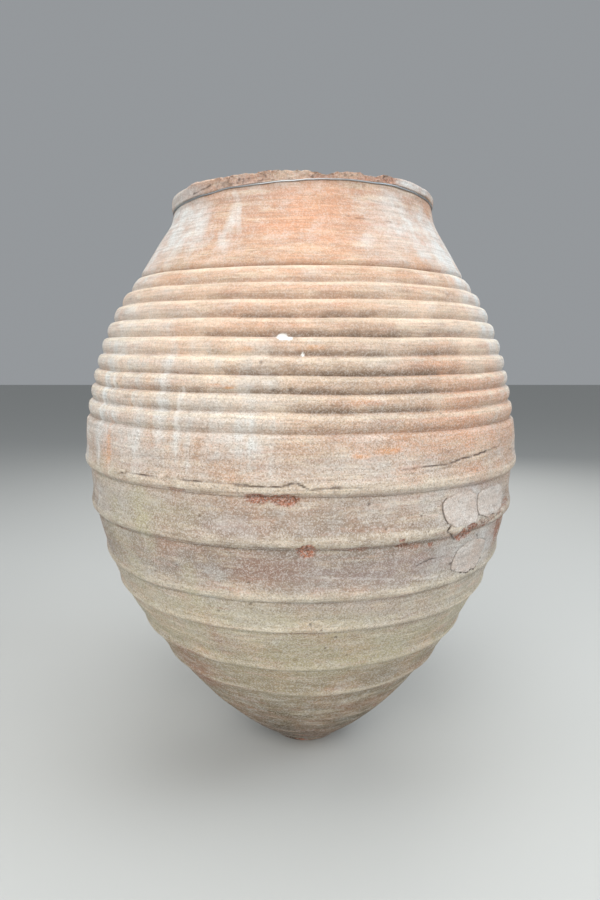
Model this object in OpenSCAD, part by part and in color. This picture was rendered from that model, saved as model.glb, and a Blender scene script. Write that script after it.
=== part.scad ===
// Large fired-clay storage jar of the amphora family, without handles.
// The wall is built up from clay courses, each lapped over the one below, so that every course
// leaves a rounded ridge with a crisp lower edge. The shoulder carries finger ribs, the neck is
// short and plain, and a rolled lip closes it. A wire is tied round the neck under the lip, and
// three mortar repairs are let into the lower wall.
// The origin is on the ground under the foot's centre, +Z is up and -Y is the front.

/* [Overall] */
// Height from the ground to the top of the lip
height = 1106; // [1000:1:1200]
// Diameter of the wall at the belly, without the ridges
belly_d = 846; // [780:1:900]
// Diameter of the foot where it stands
foot_d = 140; // [120:1:170]
// Outside diameter of the neck just under the lip
neck_d = 496; // [460:1:530]

/* [Wall] */
// Thickness of the wall beside the foot
foot_wall = 34; // [30:1:40]
// Thickness of the wall at the belly and the shoulder
belly_wall = 22; // [18:1:26]
// Thickness of the wall at the neck
neck_wall = 24; // [20:1:26]

/* [Courses] */
// Length of the lap joint between two courses, along the wall
lap = 22; // [16:1:28]
// How far a course's lower edge swells past the course below
ridge_h = 5.5; // [3:0.5:8]
// Height of that swelling
ridge_len = 46; // [36:1:54]

/* [Shoulder ribs] */
// Number of finger ribs
rib_count = 9; // [7:1:11]
// Depth of the grooves between the ribs
rib_depth = 4.5; // [2:0.5:6]
// Rib at which the upper shoulder is joined to the lower one
rib_split = 5; // [3:1:6]

/* [Lip] */
// Height of the rolled lip
lip_h = 23; // [20:1:28]
// How far the lip stands out past the neck
lip_out = 4.5; // [3:0.5:8]
// Thickness from the neck's outside to the mouth's inside
lip_wall = 26; // [24:1:28]

/* [Binding wire] */
// Thickness of the wire
wire_d = 2.4; // [2:0.2:4]
// Length of the twisted ends at the back
tail_len = 34; // [20:1:50]

/* [Mortar patches] */
// Depth of the mortar in the wall
patch_depth = 6; // [4:1:8]
// How far the mortar stands proud of the wall
patch_proud = 0.8; // [0.2:0.2:1.6]

/* [Hidden] */
$fn = 96;

belly_r = belly_d / 2;
foot_r = foot_d / 2;
neck_r = neck_d / 2;
mouth_r = neck_r - lip_wall;
lip_z = height - lip_h;

// The foot: its edge on the ground, the seat of the wall on it and the floor inside
foot_round = 4;
foot_edge_h = 9;
foot_top = 12;
floor_z = foot_wall + 2;

// Outline of the wall below the belly: height as a percentage of the jar's, and radius as a
// percentage of the way from the foot's to the belly's
lower_curve = [
    [1.1, 2.8], [5.4, 19.8], [11.3, 38.5], [19, 57.5], [25.3, 70.5], [33, 83.7], [38, 89.7],
    [46.4, 96.2], [54, 98.8], [59.5, 100]
];
// The same above the belly, as a percentage of the way from the neck's radius to the belly's
upper_curve = [
    [67.8, 91.5], [73, 82.5], [78.2, 69], [83, 51.5], [85.5, 39.5], [90.4, 20.5], [94.5, 5.5],
    [98, 0]
];
stations = concat(
    [for (p = lower_curve) [height * p[0] / 100, foot_r + (belly_r - foot_r) * p[1] / 100]],
    [for (p = upper_curve) [height * p[0] / 100, neck_r + (belly_r - neck_r) * p[1] / 100]]
);
last = len(stations) - 1;

// Wall thickness by height, in the same percentages
wall_curve = [
    [0, foot_wall], [20, belly_wall + 5], [50, belly_wall + 1], [80, belly_wall], [95, neck_wall]
];

// Lower edges of the six courses above the foot course, and the first and last rib grooves
course_edges = [19.1, 25.3, 33, 38.2, 46.4, 53.9] * height / 100;
ribs_z0 = 0.624 * height;
ribs_z1 = 0.856 * height;
rib_pitch = (ribs_z1 - ribs_z0) / rib_count;
split_z = ribs_z0 + rib_split * rib_pitch;

// A ridge starts at this share of its height on the lower edge and is fullest at its crest
ridge_start = 0.45;
ridge_crest = 0.22;
// The outermost grooves fade into the plain wall over this height
groove_fade = 10;
// Where the points of a ridge and of a rib are taken, as shares of its height
ridge_steps = [0, 0.1, 0.22, 0.4, 0.6, 0.8];
rib_steps = [0.07, 0.17, 0.33, 0.5, 0.67, 0.83, 0.93];
plain_step = 15;
inner_step = 22;

// Slope of the outline at a station, and the outline between stations as a smooth cubic
function station_slope(i) =
    let (a = stations[max(i - 1, 0)], b = stations[min(i + 1, last)])
    (b[1] - a[1]) / (b[0] - a[0]);
function span_at(z, i = 0) =
    i >= last - 1 || z < stations[i + 1][0] ? i : span_at(z, i + 1);
function body_r(z) =
    let (
        i = span_at(z),
        a = stations[i],
        b = stations[i + 1],
        h = b[0] - a[0],
        t = (z - a[0]) / h
    )
    a[1] * (2 * t ^ 3 - 3 * t ^ 2 + 1) + b[1] * (3 * t ^ 2 - 2 * t ^ 3)
    + h * station_slope(i) * (t ^ 3 - 2 * t ^ 2 + t)
    + h * station_slope(i + 1) * (t ^ 3 - t ^ 2);
function body_slope(z) = (body_r(z + 1) - body_r(z - 1)) / 2;

// Wall thickness at a height, and a point in the wall at a depth square to its outer face
function wall_t(z) = lookup(100 * z / height, wall_curve);
function wall_at(z, depth) =
    let (s = body_slope(z), n = 1 / sqrt(1 + s * s))
    [body_r(z) - depth * n, z + depth * n * s];

// Swelling at a share u of a ridge's height above its lower edge
function ridge(u) =
    u < ridge_crest
        ? ridge_h * (ridge_start + (1 - ridge_start) * sin(90 * u / ridge_crest))
        : ridge_h * cos(90 * (u - ridge_crest) / (1 - ridge_crest)) ^ 2;
// Depth below the plain wall at a share u of a rib, which is round between its two grooves
function groove(u) = rib_depth * abs(2 * u - 1) ^ 3;
function fading_groove(d) = rib_depth * (1 - d / groove_fade) ^ 3;

function reversed(list) = [for (i = [len(list) - 1:-1:0]) list[i]];

// Lap joint at height z, from the outer face at a given depth to the inner face: a short
// seat, a step up and a long slope, so that the upper course sits over the lower one
function lap_line(z, face) =
    let (t = wall_t(z))
    [
        wall_at(z, face), wall_at(z + 1, 0.38 * t), wall_at(z + 0.7 * lap, 0.5 * t),
        wall_at(z + lap, t)
    ];
// Points of the inner face between two lap joints, from the top down
function inner_line(z0, z1) =
    let (n = max(2, round((z1 - z0) / inner_step)))
    [for (i = [n - 1:-1:1]) let (z = z0 + (z1 - z0) * i / n + lap) wall_at(z, wall_t(z))];
// Points of the plain outer face strictly between two heights
function plain_line(z0, z1) =
    let (n = max(1, round((z1 - z0) / plain_step)))
    [for (i = [1:1:n - 1]) wall_at(z0 + (z1 - z0) * i / n, 0)];

// Outer face of a course from its lower edge at z0, whose ridge runs into the plain wall
function ridge_line(z0) = [for (u = ridge_steps) wall_at(z0 + u * ridge_len, -ridge(u))];
function course_line(z0, z1) = concat(ridge_line(z0), plain_line(z0 + ridge_len - 1, z1));
// Outer face of the ribs numbered first to last, without the grooves at the two ends
function rib_line(first, last_rib) = [
    for (k = [first:last_rib], u = concat(k == first ? [] : [0], rib_steps))
        wall_at(ribs_z0 + (k + u) * rib_pitch, groove(u))
];

// A ring of the wall from its outer face and the two joints
function ring_outline(outer, z0, z1, low, high) =
    concat(outer, high, inner_line(z0, z1), reversed(low));

function arc_points(centre, r, from, to, n) = [
    for (i = [0:n]) let (a = from + (to - from) * i / n) centre + r * [cos(a), sin(a)]
];

// Joint between the foot's disc and the wall, from the outside in
foot_line = [
    [foot_r, foot_edge_h], [foot_r - 8, foot_edge_h], [foot_r - 13, foot_edge_h + 11],
    [foot_r - 20, floor_z]
];
// Joint between the neck and the lip: a tongue on the neck in a groove under the lip
rim_line = [
    [neck_r, lip_z], [neck_r - 8, lip_z], [neck_r - 9, lip_z + 7], [neck_r - 16, lip_z + 7],
    [neck_r - 17, lip_z - 6], [mouth_r, lip_z - 10]
];

module turned(outline) {
    rotate_extrude() polygon(outline);
}

module course(i) {
    z0 = course_edges[i];
    z1 = i + 1 < len(course_edges) ? course_edges[i + 1] : ribs_z0;
    top_face = i + 1 < len(course_edges) ? 0 : rib_depth;
    fade = top_face > 0
        ? [for (d = [groove_fade, 0.5 * groove_fade]) wall_at(z1 - d, fading_groove(d))]
        : [];
    outer = concat(course_line(z0, z1 - (top_face > 0 ? groove_fade : 0)), fade);
    turned(ring_outline(outer, z0, z1, lap_line(z0, 0), lap_line(z1, top_face)));
}

// A layer of the wall from a depth to outside it, over part of the turn
// The angles are measured from the front towards +X
module wall_layer(z0, z1, a0, a1, inside, outside) {
    steps = 6;
    zs = [for (i = [0:steps]) z0 + (z1 - z0) * i / steps];
    outline = concat(
        [for (z = zs) wall_at(z, -outside)],
        [for (z = reversed(zs)) wall_at(z, inside)]
    );
    rotate([0, 0, a0 - 90]) rotate_extrude(angle = a1 - a0) polygon(outline);
}

// Places of the three patches: lower and upper height, and the two angles
patch_front = [538, 586, 33, 44.2];
patch_side = [538, 582, 44.8, 60];
patch_low = [440, 492, 38.5, 54];

module patch(place) {
    wall_layer(place[0], place[1], place[2], place[3], patch_depth, patch_proud);
}
module pocket(place) {
    wall_layer(place[0], place[1], place[2], place[3], patch_depth, 2 * ridge_h);
}

module base_disc() {
    color([0.66, 0.56, 0.45])
        turned(concat(
            [[0, 0]],
            arc_points([foot_r - foot_round, foot_round], foot_round, -90, 0, 4),
            foot_line,
            [[0, floor_z]]
        ));
}
module foot_course() {
    z1 = course_edges[0];
    outer = concat([wall_at(foot_top, 0)], plain_line(foot_top, z1));
    color([0.70, 0.60, 0.48])
        turned(concat(
            outer,
            lap_line(z1, 0),
            inner_line(foot_top - lap, z1),
            reversed(foot_line)
        ));
}
module course_1() {
    color([0.74, 0.64, 0.52]) course(0);
}
module course_2() {
    color([0.76, 0.66, 0.54]) course(1);
}
module course_3() {
    color([0.78, 0.68, 0.57]) course(2);
}
module course_4() {
    color([0.78, 0.67, 0.58])
        difference() {
            course(3);
            pocket(patch_low);
        }
}
module course_5() {
    color([0.80, 0.68, 0.59])
        difference() {
            course(4);
            pocket(patch_front);
            pocket(patch_side);
        }
}
module course_6() {
    color([0.83, 0.70, 0.61]) course(5);
}
module shoulder_lower() {
    color([0.84, 0.70, 0.59])
        turned(ring_outline(
            rib_line(0, rib_split - 1), ribs_z0, split_z,
            lap_line(ribs_z0, rib_depth), lap_line(split_z, rib_depth)
        ));
}
module shoulder_upper() {
    color([0.85, 0.71, 0.60])
        turned(ring_outline(
            rib_line(rib_split, rib_count - 1), split_z, ribs_z1,
            lap_line(split_z, rib_depth), lap_line(ribs_z1, rib_depth)
        ));
}
module neck() {
    fade = [
        for (d = [0.5 * groove_fade, groove_fade]) wall_at(ribs_z1 + d, fading_groove(d))
    ];
    inner = inner_line(ribs_z1, lip_z - lap - 14);
    color([0.86, 0.70, 0.58])
        turned(concat(
            fade, plain_line(ribs_z1 + groove_fade, lip_z), rim_line, inner,
            reversed(lap_line(ribs_z1, rib_depth))
        ));
}
module rim() {
    lip_r = neck_r + lip_out;
    under_round = 3;
    outer_round = 9;
    inner_round = 7;
    color([0.72, 0.66, 0.58])
        turned(concat(
            arc_points([lip_r - under_round, lip_z + under_round], under_round, -90, 0, 3),
            arc_points([lip_r - outer_round, height - outer_round], outer_round, 0, 90, 6),
            arc_points([mouth_r + inner_round, height - inner_round], inner_round, 90, 180, 5),
            reversed(rim_line)
        ));
}
// The wire lies against the neck, and its two ends are twisted together at the back
module binding_wire() {
    gap = 0.2;
    tail_d = 1.4 * wire_d;
    tail_lean = 17;
    wire_z = lip_z - wire_d / 2 - gap;
    ring_r = body_r(wire_z) + wire_d / 2 + gap;
    color([0.62, 0.63, 0.64]) {
        rotate_extrude() translate([ring_r, wire_z]) circle(d = wire_d);
        translate([0, ring_r + 0.4 * wire_d, wire_z]) rotate([180 + tail_lean, 0, 0])
            cylinder(d = tail_d, h = tail_len);
    }
}
module mortar_patch_front() {
    color([0.78, 0.76, 0.72]) patch(patch_front);
}
module mortar_patch_side() {
    color([0.76, 0.74, 0.70]) patch(patch_side);
}
module mortar_patch_low() {
    color([0.77, 0.75, 0.70]) patch(patch_low);
}

base_disc();
foot_course();
course_1();
course_2();
course_3();
course_4();
course_5();
course_6();
shoulder_lower();
shoulder_upper();
neck();
rim();
binding_wire();
mortar_patch_front();
mortar_patch_side();
mortar_patch_low();
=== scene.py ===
import math

import bpy
import numpy as np
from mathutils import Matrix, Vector


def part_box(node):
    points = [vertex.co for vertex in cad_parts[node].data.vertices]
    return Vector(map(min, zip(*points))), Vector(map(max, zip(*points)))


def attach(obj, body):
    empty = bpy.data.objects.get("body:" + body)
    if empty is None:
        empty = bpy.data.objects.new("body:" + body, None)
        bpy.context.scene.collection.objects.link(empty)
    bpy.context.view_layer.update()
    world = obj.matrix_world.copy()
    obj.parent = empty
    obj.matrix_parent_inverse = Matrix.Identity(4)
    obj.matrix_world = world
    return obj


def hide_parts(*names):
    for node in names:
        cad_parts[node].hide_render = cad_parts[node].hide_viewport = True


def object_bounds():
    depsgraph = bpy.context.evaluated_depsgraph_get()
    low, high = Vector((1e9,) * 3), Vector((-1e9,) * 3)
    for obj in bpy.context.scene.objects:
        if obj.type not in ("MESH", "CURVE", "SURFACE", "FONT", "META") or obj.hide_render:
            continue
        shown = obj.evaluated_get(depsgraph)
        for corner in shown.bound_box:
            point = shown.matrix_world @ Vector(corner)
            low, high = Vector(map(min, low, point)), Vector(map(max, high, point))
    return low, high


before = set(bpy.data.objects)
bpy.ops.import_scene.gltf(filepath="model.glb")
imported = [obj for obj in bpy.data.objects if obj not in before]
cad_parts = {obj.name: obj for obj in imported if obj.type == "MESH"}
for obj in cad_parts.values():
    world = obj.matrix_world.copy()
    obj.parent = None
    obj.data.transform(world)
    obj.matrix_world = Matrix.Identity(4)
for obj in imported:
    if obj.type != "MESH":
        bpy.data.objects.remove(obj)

# Lengths are millimetres and angles degrees, measured from the front (-Y) towards +X.
# A place on the wall is (angle, height). Meshes are made in metres, in the model's frame.
mm = 0.001
cadLow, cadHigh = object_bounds()
print("frame loaded:", len(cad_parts), "nodes")

jar = {
    "height": cadHigh.z / mm,
    "footRadius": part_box("base_disc")[1].x / mm,
    "bellyRadius": 423,
    "neckRadius": 248,
    "footWall": 34,
    "bellyWall": 22,
    "neckWall": 24,
    "lap": 22,                 # length of the joint between two courses
    "rowStep": 2.3,            # spacing of the mesh on the outer face
    "innerStep": 9,
    "hiddenStep": 40,          # in the joints, where only corners need points
    "jointRows": 18,           # rows of a ring that its joints and edges take
    "innerFloor": 30,          # where the inner face starts, and where it meets the lip's seat
    "innerTop": 1062,
    "columns": 1024,
    "footColumns": 640,
    "faceLimit": 97000,        # four-sided faces that a ring may have
}

# Outline below the belly: percent of the height, and percent of the way from the foot's radius
# to the belly's. Above it, percent of the way from the neck's radius to the belly's.
lowerCurve = [
    (1.1, 2.8), (5.4, 19.8), (11.3, 38.5), (19, 57.5), (25.3, 70.5), (33, 83.7), (38, 89.7),
    (46.4, 96.2), (54, 98.8), (59.5, 100),
]
upperCurve = [
    (67.8, 91.5), (73, 82.5), (78.2, 69), (83, 51.5), (85.5, 39.5), (90.4, 20.5), (94.5, 5.5),
    (98, 0),
]
wallCurve = [
    (0, jar["footWall"]), (20, jar["bellyWall"] + 5), (50, jar["bellyWall"] + 1),
    (80, jar["bellyWall"]), (95, jar["neckWall"]),
]
footSpan = jar["bellyRadius"] - jar["footRadius"]
neckSpan = jar["bellyRadius"] - jar["neckRadius"]
stationZ = np.array([p[0] for p in lowerCurve + upperCurve]) * jar["height"] / 100
stationR = np.array(
    [jar["footRadius"] + footSpan * p[1] / 100 for p in lowerCurve]
    + [jar["neckRadius"] + neckSpan * p[1] / 100 for p in upperCurve]
)
stationSlope = np.gradient(stationR) / np.gradient(stationZ)


def smoothStep(low, high, x):
    t = np.clip((x - low) / (high - low), 0, 1)
    return t * t * (3 - 2 * t)


def outlineRadius(s):
    i = np.clip(np.searchsorted(stationZ, s, side="right") - 1, 0, len(stationZ) - 2)
    h = stationZ[i + 1] - stationZ[i]
    t = (s - stationZ[i]) / h
    return (
        stationR[i] * (2 * t**3 - 3 * t**2 + 1)
        + stationR[i + 1] * (3 * t**2 - 2 * t**3)
        + h * stationSlope[i] * (t**3 - 2 * t**2 + t)
        + h * stationSlope[i + 1] * (t**3 - t**2)
    )


def outlineSlope(s):
    return (outlineRadius(s + 1) - outlineRadius(s - 1)) / 2


def wallThickness(s):
    heights, values = zip(*wallCurve)
    return np.interp(100 * np.asarray(s) / jar["height"], heights, values)


def aroundCurve(phi, points):
    # A closed curve through (angle, value) points, level at each of them
    places, values = map(np.array, zip(*sorted(points)))
    places = np.append(places, places[0] + 360)
    values = np.append(values, values[0])
    phi = places[0] + (phi - places[0]) % 360
    i = np.clip(np.searchsorted(places, phi, side="right") - 1, 0, len(places) - 2)
    return values[i] + (values[i + 1] - values[i]) * smoothStep(places[i], places[i + 1], phi)


def latticeValue(cell, seed):
    h = cell[:, 0] * 374761393 + cell[:, 1] * 668265263 + cell[:, 2] * 1442695041 + seed * 97
    h = (h ^ (h >> 13)) * 1274126177 & 0xFFFFFFFF
    return ((h ^ (h >> 16)) & 0xFFFF) / 32767.5 - 1


def softNoise(points, size, seed, octaves=2):
    # Smooth noise from -1 to 1 whose blobs are about as wide as size, in metres like the points
    total, weight = np.zeros(len(points)), 0
    for k in range(octaves):
        p = points / size * 2**k
        base = np.floor(p).astype(np.int64)
        f = p - base
        f = f * f * (3 - 2 * f)
        value = np.zeros(len(points))
        for corner in np.ndindex(2, 2, 2):
            c = np.array(corner)
            part = np.prod(np.where(c, f, 1 - f), axis=1)
            value += part * latticeValue(base + c, seed + k)
        total += value * 0.5**k
        weight += 0.5**k
    return total / weight


# The uneven turning of the whole pot: one warp, shared by every piece so that joints meet
uneven = {
    "edgeWander": 1.5,         # how far an edge or groove strays up and down
    "outOfRound": 1.5,
    "lean": [(0, 7), (150, 3), (700, -3), (1100, 1)],   # height, and the axis's shift in X
    # How far the shoulder's ribs stray from even spacing
    "ribDrift": [(680, 0), (722, 2.6), (760, 1.6), (806, 1.8), (836, 3), (894, 4), (925, 1), (955, 0)],
    # The lip's lower edge and its top, against the level ones
    "lipBase": 1083,
    "lipLow": [
        (-70, -13), (-41, -9), (-27, -4.5), (-16, -2), (-6, 0.5), (3, 2), (9, 3.8), (15, 5),
        (38, 5), (50, 2.8), (60, 1.5), (75, -2), (120, -4), (180, -6), (235, -9),
    ],
    "lipTop": [
        (-80, -10), (-57, -10.5), (-48, -7), (-33, -9), (-20, -8), (-6, -6.5), (1, -8),
        (4.5, -10), (9, -13.5), (13.5, -7.5), (20, -5.5), (23, -5), (26, -9.5), (30, -9.5),
        (33.5, -4), (46, -4), (60, -6.5), (78, -9), (105, -6), (125, -3), (150, -5), (163, -2),
        (172, -6), (200, -2), (222, -4), (250, -8),
    ],
}


def wander(phi, z):
    a = np.radians(phi)
    slow = np.sin(a + 0.004 * z) + 0.7 * np.sin(2 * a + 0.011 * z + 2)
    slow = slow + 0.35 * np.sin(5 * a + 0.02 * z) + 0.2 * np.sin(11 * a - 0.03 * z)
    calm = smoothStep(20, 140, z) * smoothStep(1070, 1000, z)
    base = uneven["lipBase"]
    low = aroundCurve(phi, uneven["lipLow"]) * smoothStep(base - 68, base, z)
    top = aroundCurve(phi, uneven["lipTop"])
    lip = low + (top - low) * np.clip((z - base) / (jar["height"] - base), 0, 1)
    heights, drifts = zip(*uneven["ribDrift"])
    return uneven["edgeWander"] * slow * calm + lip + np.interp(z, heights, drifts)


def unevenPlace(phi, r, z):
    # A point of the true turning, moved to the slightly uneven pot, in metres
    a = np.radians(phi)
    swing = np.sin(2 * a + 1.1 + 0.002 * z) + 0.7 * np.sin(3 * a - 0.4 + 0.003 * z)
    swing = swing + 0.3 * np.sin(7 * a + 0.01 * z)
    bulge = uneven["outOfRound"] * swing * smoothStep(10, 200, z) * np.minimum(1, r / 60)
    heights, shifts = zip(*uneven["lean"])
    x = (r + bulge) * np.sin(a) + np.interp(z, heights, shifts)
    return np.stack([x, -(r + bulge) * np.cos(a), z + wander(phi, z)], axis=-1) * mm


# A section is an array with one row for each point: radius, height, the normal's two parts, the
# height along the outline, and how far the point is on the outer and on the inner face (0 to 1)
def wallRows(heights, depth=0, outer=0, inner=0):
    heights = np.atleast_1d(np.asarray(heights, float))
    slope = outlineSlope(heights)
    n = 1 / np.sqrt(1 + slope * slope)
    turn = -1 if inner else 1
    one = np.ones_like(heights)
    return np.stack([
        outlineRadius(heights) - depth * n, heights + depth * n * slope, turn * n,
        -turn * slope * n, heights, outer * one, inner * one,
    ], axis=1)


def lineRows(points, step, outer=0, inner=0):
    # Rows along a run of (radius, height) points, at most a step apart
    points = np.asarray(points, float)
    parts = []
    for a, b in zip(points, points[1:]):
        count = max(1, int(np.ceil(np.hypot(*(b - a)) / step)))
        parts.append(a + (b - a) * np.arange(count)[:, None] / count)
    line = np.concatenate(parts + [points[-1:]])
    along = np.gradient(line, axis=0)
    along = along / np.maximum(np.hypot(along[:, 0], along[:, 1]), 1e-9)[:, None]
    one = np.ones(len(line))
    return np.stack([
        line[:, 0], line[:, 1], along[:, 1], -along[:, 0], line[:, 1], outer * one, inner * one,
    ], axis=1)


def arcPoints(centre, radius, start, end, count):
    a = np.radians(np.linspace(start, end, count + 1))
    return np.stack([centre[0] + radius * np.cos(a), centre[1] + radius * np.sin(a)], axis=1)


def columnAngles(count):
    # Columns stand closer together at the front, where the damage is finest
    t = 2 * math.pi * np.arange(count) / count + math.pi / 4
    phi = np.degrees(t - 0.25 * np.sin(t))
    return (phi + 180) % 360 - 180


def turnedMesh(name, section, phi, capped=False):
    # Rows run round the section and columns round the pot. A capped section ends on the axis.
    grid = unevenPlace(phi[None, :], section[:, :1], section[:, 1:2])
    rows, columns = grid.shape[:2]
    points = grid.reshape(-1, 3)
    steps = rows - 1 if capped else rows
    i, j = np.meshgrid(np.arange(steps), np.arange(columns), indexing="ij")
    i, j = i.ravel(), j.ravel()
    i2, j2 = (i + 1) % rows, (j + 1) % columns
    corners = np.stack(
        [i * columns + j, i * columns + j2, i2 * columns + j2, i2 * columns + j], axis=1
    )
    # Four strips, one for each quarter turn, stacked in the map with a margin between them
    quarter = columns // 4
    following = np.roll(section, -1, axis=0)
    share = 0.15 + 0.85 * section[:, 5] * following[:, 5] + 0.2 * section[:, 6]
    runs = share * np.hypot(following[:, 0] - section[:, 0], following[:, 1] - section[:, 1])
    along = np.concatenate([[0], np.cumsum(runs)])
    along = along / along[-1]
    strip = j // quarter
    u0, u1 = (j % quarter) / quarter, (j % quarter + 1) / quarter
    us = np.stack([u0, u1, u1, u0], axis=1) * 0.992 + 0.004
    vs = np.stack([along[i], along[i], along[i + 1], along[i + 1]], axis=1)
    vs = (strip[:, None] + vs * 0.976 + 0.012) / 4
    loops, sizes = corners.ravel(), np.full(len(corners), 4)
    uv = np.stack([us.ravel(), vs.ravel()], axis=1)
    if capped:
        poles = np.array([[*grid[0, :, :2].mean(0), grid[0, 0, 2]],
                          [*grid[-1, :, :2].mean(0), grid[-1, 0, 2]]])
        points = np.concatenate([points, poles])
        k = np.arange(columns)
        low = np.stack([np.full(columns, rows * columns), (k + 1) % columns, k], axis=1)
        top = (rows - 1) * columns
        high = np.stack([np.full(columns, rows * columns + 1), top + k,
                         top + (k + 1) % columns], axis=1)
        fans = np.concatenate([low, high])
        loops = np.concatenate([loops, fans.ravel()])
        sizes = np.concatenate([sizes, np.full(len(fans), 3)])
        uv = np.concatenate([uv, np.zeros((fans.size, 2))])
    mesh = bpy.data.meshes.new(name)
    mesh.vertices.add(len(points))
    mesh.vertices.foreach_set("co", points.astype(np.float32).ravel())
    mesh.loops.add(len(loops))
    mesh.loops.foreach_set("vertex_index", loops.astype(np.int32))
    mesh.polygons.add(len(sizes))
    starts = np.concatenate([[0], np.cumsum(sizes)[:-1]])
    mesh.polygons.foreach_set("loop_start", starts.astype(np.int32))
    mesh.update(calc_edges=True)
    if not capped:
        layer = mesh.uv_layers.new(name="OFBake")
        layer.data.foreach_set("uv", uv.astype(np.float32).ravel())
    spread = np.zeros((len(points), 6))
    normal = outwardNormals(phi[None, :], section[:, 2:3], section[:, 3:4])
    spread[: rows * columns, :3] = normal.reshape(-1, 3)
    spread[: rows * columns, 3:] = np.repeat(section[:, 4:7], columns, axis=0)
    setAttribute(mesh, "outward", spread[:, :3], "FLOAT_VECTOR")
    setAttribute(mesh, "height", spread[:, 3] * mm)
    setAttribute(mesh, "outer", spread[:, 4])
    setAttribute(mesh, "inner", spread[:, 5])
    return mesh


def outwardNormals(phi, across, up):
    # Directions that lean out by across and up, turned to the angles phi
    a = np.radians(phi)
    return np.stack([across * np.sin(a), -across * np.cos(a), up + 0 * a], axis=-1)


def setAttribute(mesh, name, values, kind="FLOAT"):
    attribute = mesh.attributes.get(name) or mesh.attributes.new(name, kind, "POINT")
    key = "vector" if kind == "FLOAT_VECTOR" else "value"
    attribute.data.foreach_set(key, np.ascontiguousarray(values, dtype=np.float32).ravel())


def meshPoints(mesh):
    co = np.zeros(len(mesh.vertices) * 3, np.float32)
    mesh.vertices.foreach_get("co", co)
    return co.reshape(-1, 3).astype(float)


def movePoints(mesh, points):
    mesh.vertices.foreach_set("co", points.astype(np.float32).ravel())


def newPiece(name, mesh):
    piece = bpy.data.objects.new(name, mesh)
    bpy.context.scene.collection.objects.link(piece)
    return piece


def finishPiece(piece, node):
    piece.data.validate()
    piece.data.shade_smooth()
    piece.data.set_sharp_from_angle(angle=math.radians(62))
    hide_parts(node)
    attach(piece, "root")


def setInputs(tree, node, inputs):
    for key, value in inputs.items():
        if isinstance(value, bpy.types.NodeSocket):
            tree.links.new(value, node.inputs[key])
        else:
            node.inputs[key].default_value = value


def addNode(tree, kind, settings=None, inputs=None):
    node = tree.nodes.new(kind)
    for key, value in (settings or {}).items():
        setattr(node, key, value)
    setInputs(tree, node, inputs or {})
    return node


def valueOf(tree, kind, settings=None, inputs=None):
    return addNode(tree, kind, settings, inputs).outputs[0]


def hexColour(text):
    # sRGB hex to the linear colour that shaders use
    parts = [int(text[k:k + 2], 16) / 255 for k in (1, 3, 5)]
    linear = [c / 12.92 if c <= 0.04045 else ((c + 0.055) / 1.055) ** 2.4 for c in parts]
    return (*linear, 1)


def setCurve(node, points):
    curve = node.mapping.curves[0]
    while len(curve.points) < len(points):
        curve.points.new(0.5, 0.5)
    for point, (x, y) in zip(curve.points, sorted(points)):
        point.location = (x, y)
        point.handle_type = "AUTO_CLAMPED"
    node.mapping.update()


def setRamp(node, stops):
    ramp = node.color_ramp
    while len(ramp.elements) < len(stops):
        ramp.elements.new(0.5)
    for element, (place, colour) in zip(ramp.elements, stops):
        element.position = place
        element.color = colour


# What the potter's fingers and wheel leave on a course, as one Geometry Nodes tree
clay = {
    "ribPitch": 0.232 * jar["height"] / 9,
    "ribStart": 0.624 * jar["height"],
    "ribCount": 9,
    "grooveDepth": 7.2,
    "grooveFade": 10,
    # Across a rib from its lower groove to its upper one: depth, wear with painted highlight
    # on its upper side, and dirt with painted shade on its lower side
    "ribShape": [
        (0, 1), (0.09, 0.78), (0.22, 0.4), (0.4, 0.11), (0.56, 0), (0.75, 0.06), (0.9, 0.38), (1, 1),
    ],
    "ribWearAndHighlight": [(0, 0), (0.45, 0.05), (0.62, 0.55), (0.8, 1), (0.92, 0.5), (1, 0)],
    "ribDirtAndShade": [(0, 1), (0.08, 0.92), (0.22, 0.55), (0.38, 0.14), (0.52, 0), (0.94, 0), (1, 0.8)],
    # A ridge from its lower edge up: a thin crisp one, and a broad rounded one
    "crispRidge": [(0, 0.4), (0.14, 0.8), (0.3, 1), (0.5, 0.78), (0.8, 0.18), (1, 0)],
    "roundRidge": [(0, 0.14), (0.09, 0.56), (0.2, 0.95), (0.29, 1), (0.5, 0.7), (0.76, 0.22), (1, 0)],
    "ridgeUneven": 0.7,        # how much a ridge's height varies round the pot
    "swell": 1.6,              # broad unevenness of the wall
    "wheelMark": 0.55,         # fine level lines left by the wheel
    "grit": 0.35,
    "innerRing": 1.6,          # finger rings inside
    "innerPitch": 31,
}


def newTree(name, sockets):
    # A Geometry Nodes tree from geometry, the sockets given and a material, to geometry
    tree = bpy.data.node_groups.new(name, "GeometryNodeTree")
    tree.interface.new_socket("Geometry", in_out="OUTPUT", socket_type="NodeSocketGeometry")
    for key, kind in {"Geometry": "Geometry", **sockets, "Material": "Material"}.items():
        tree.interface.new_socket(key, in_out="INPUT", socket_type="NodeSocket" + kind)
    return tree, tree.nodes.new("NodeGroupInput").outputs


def closeTree(tree, given, geometry):
    whole = valueOf(tree, "GeometryNodeRealizeInstances", None, {0: geometry})
    done = valueOf(
        tree, "GeometryNodeSetMaterial", None, {"Geometry": whole, "Material": given["Material"]}
    )
    addNode(tree, "NodeGroupOutput", None, {0: done})
    return tree


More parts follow.
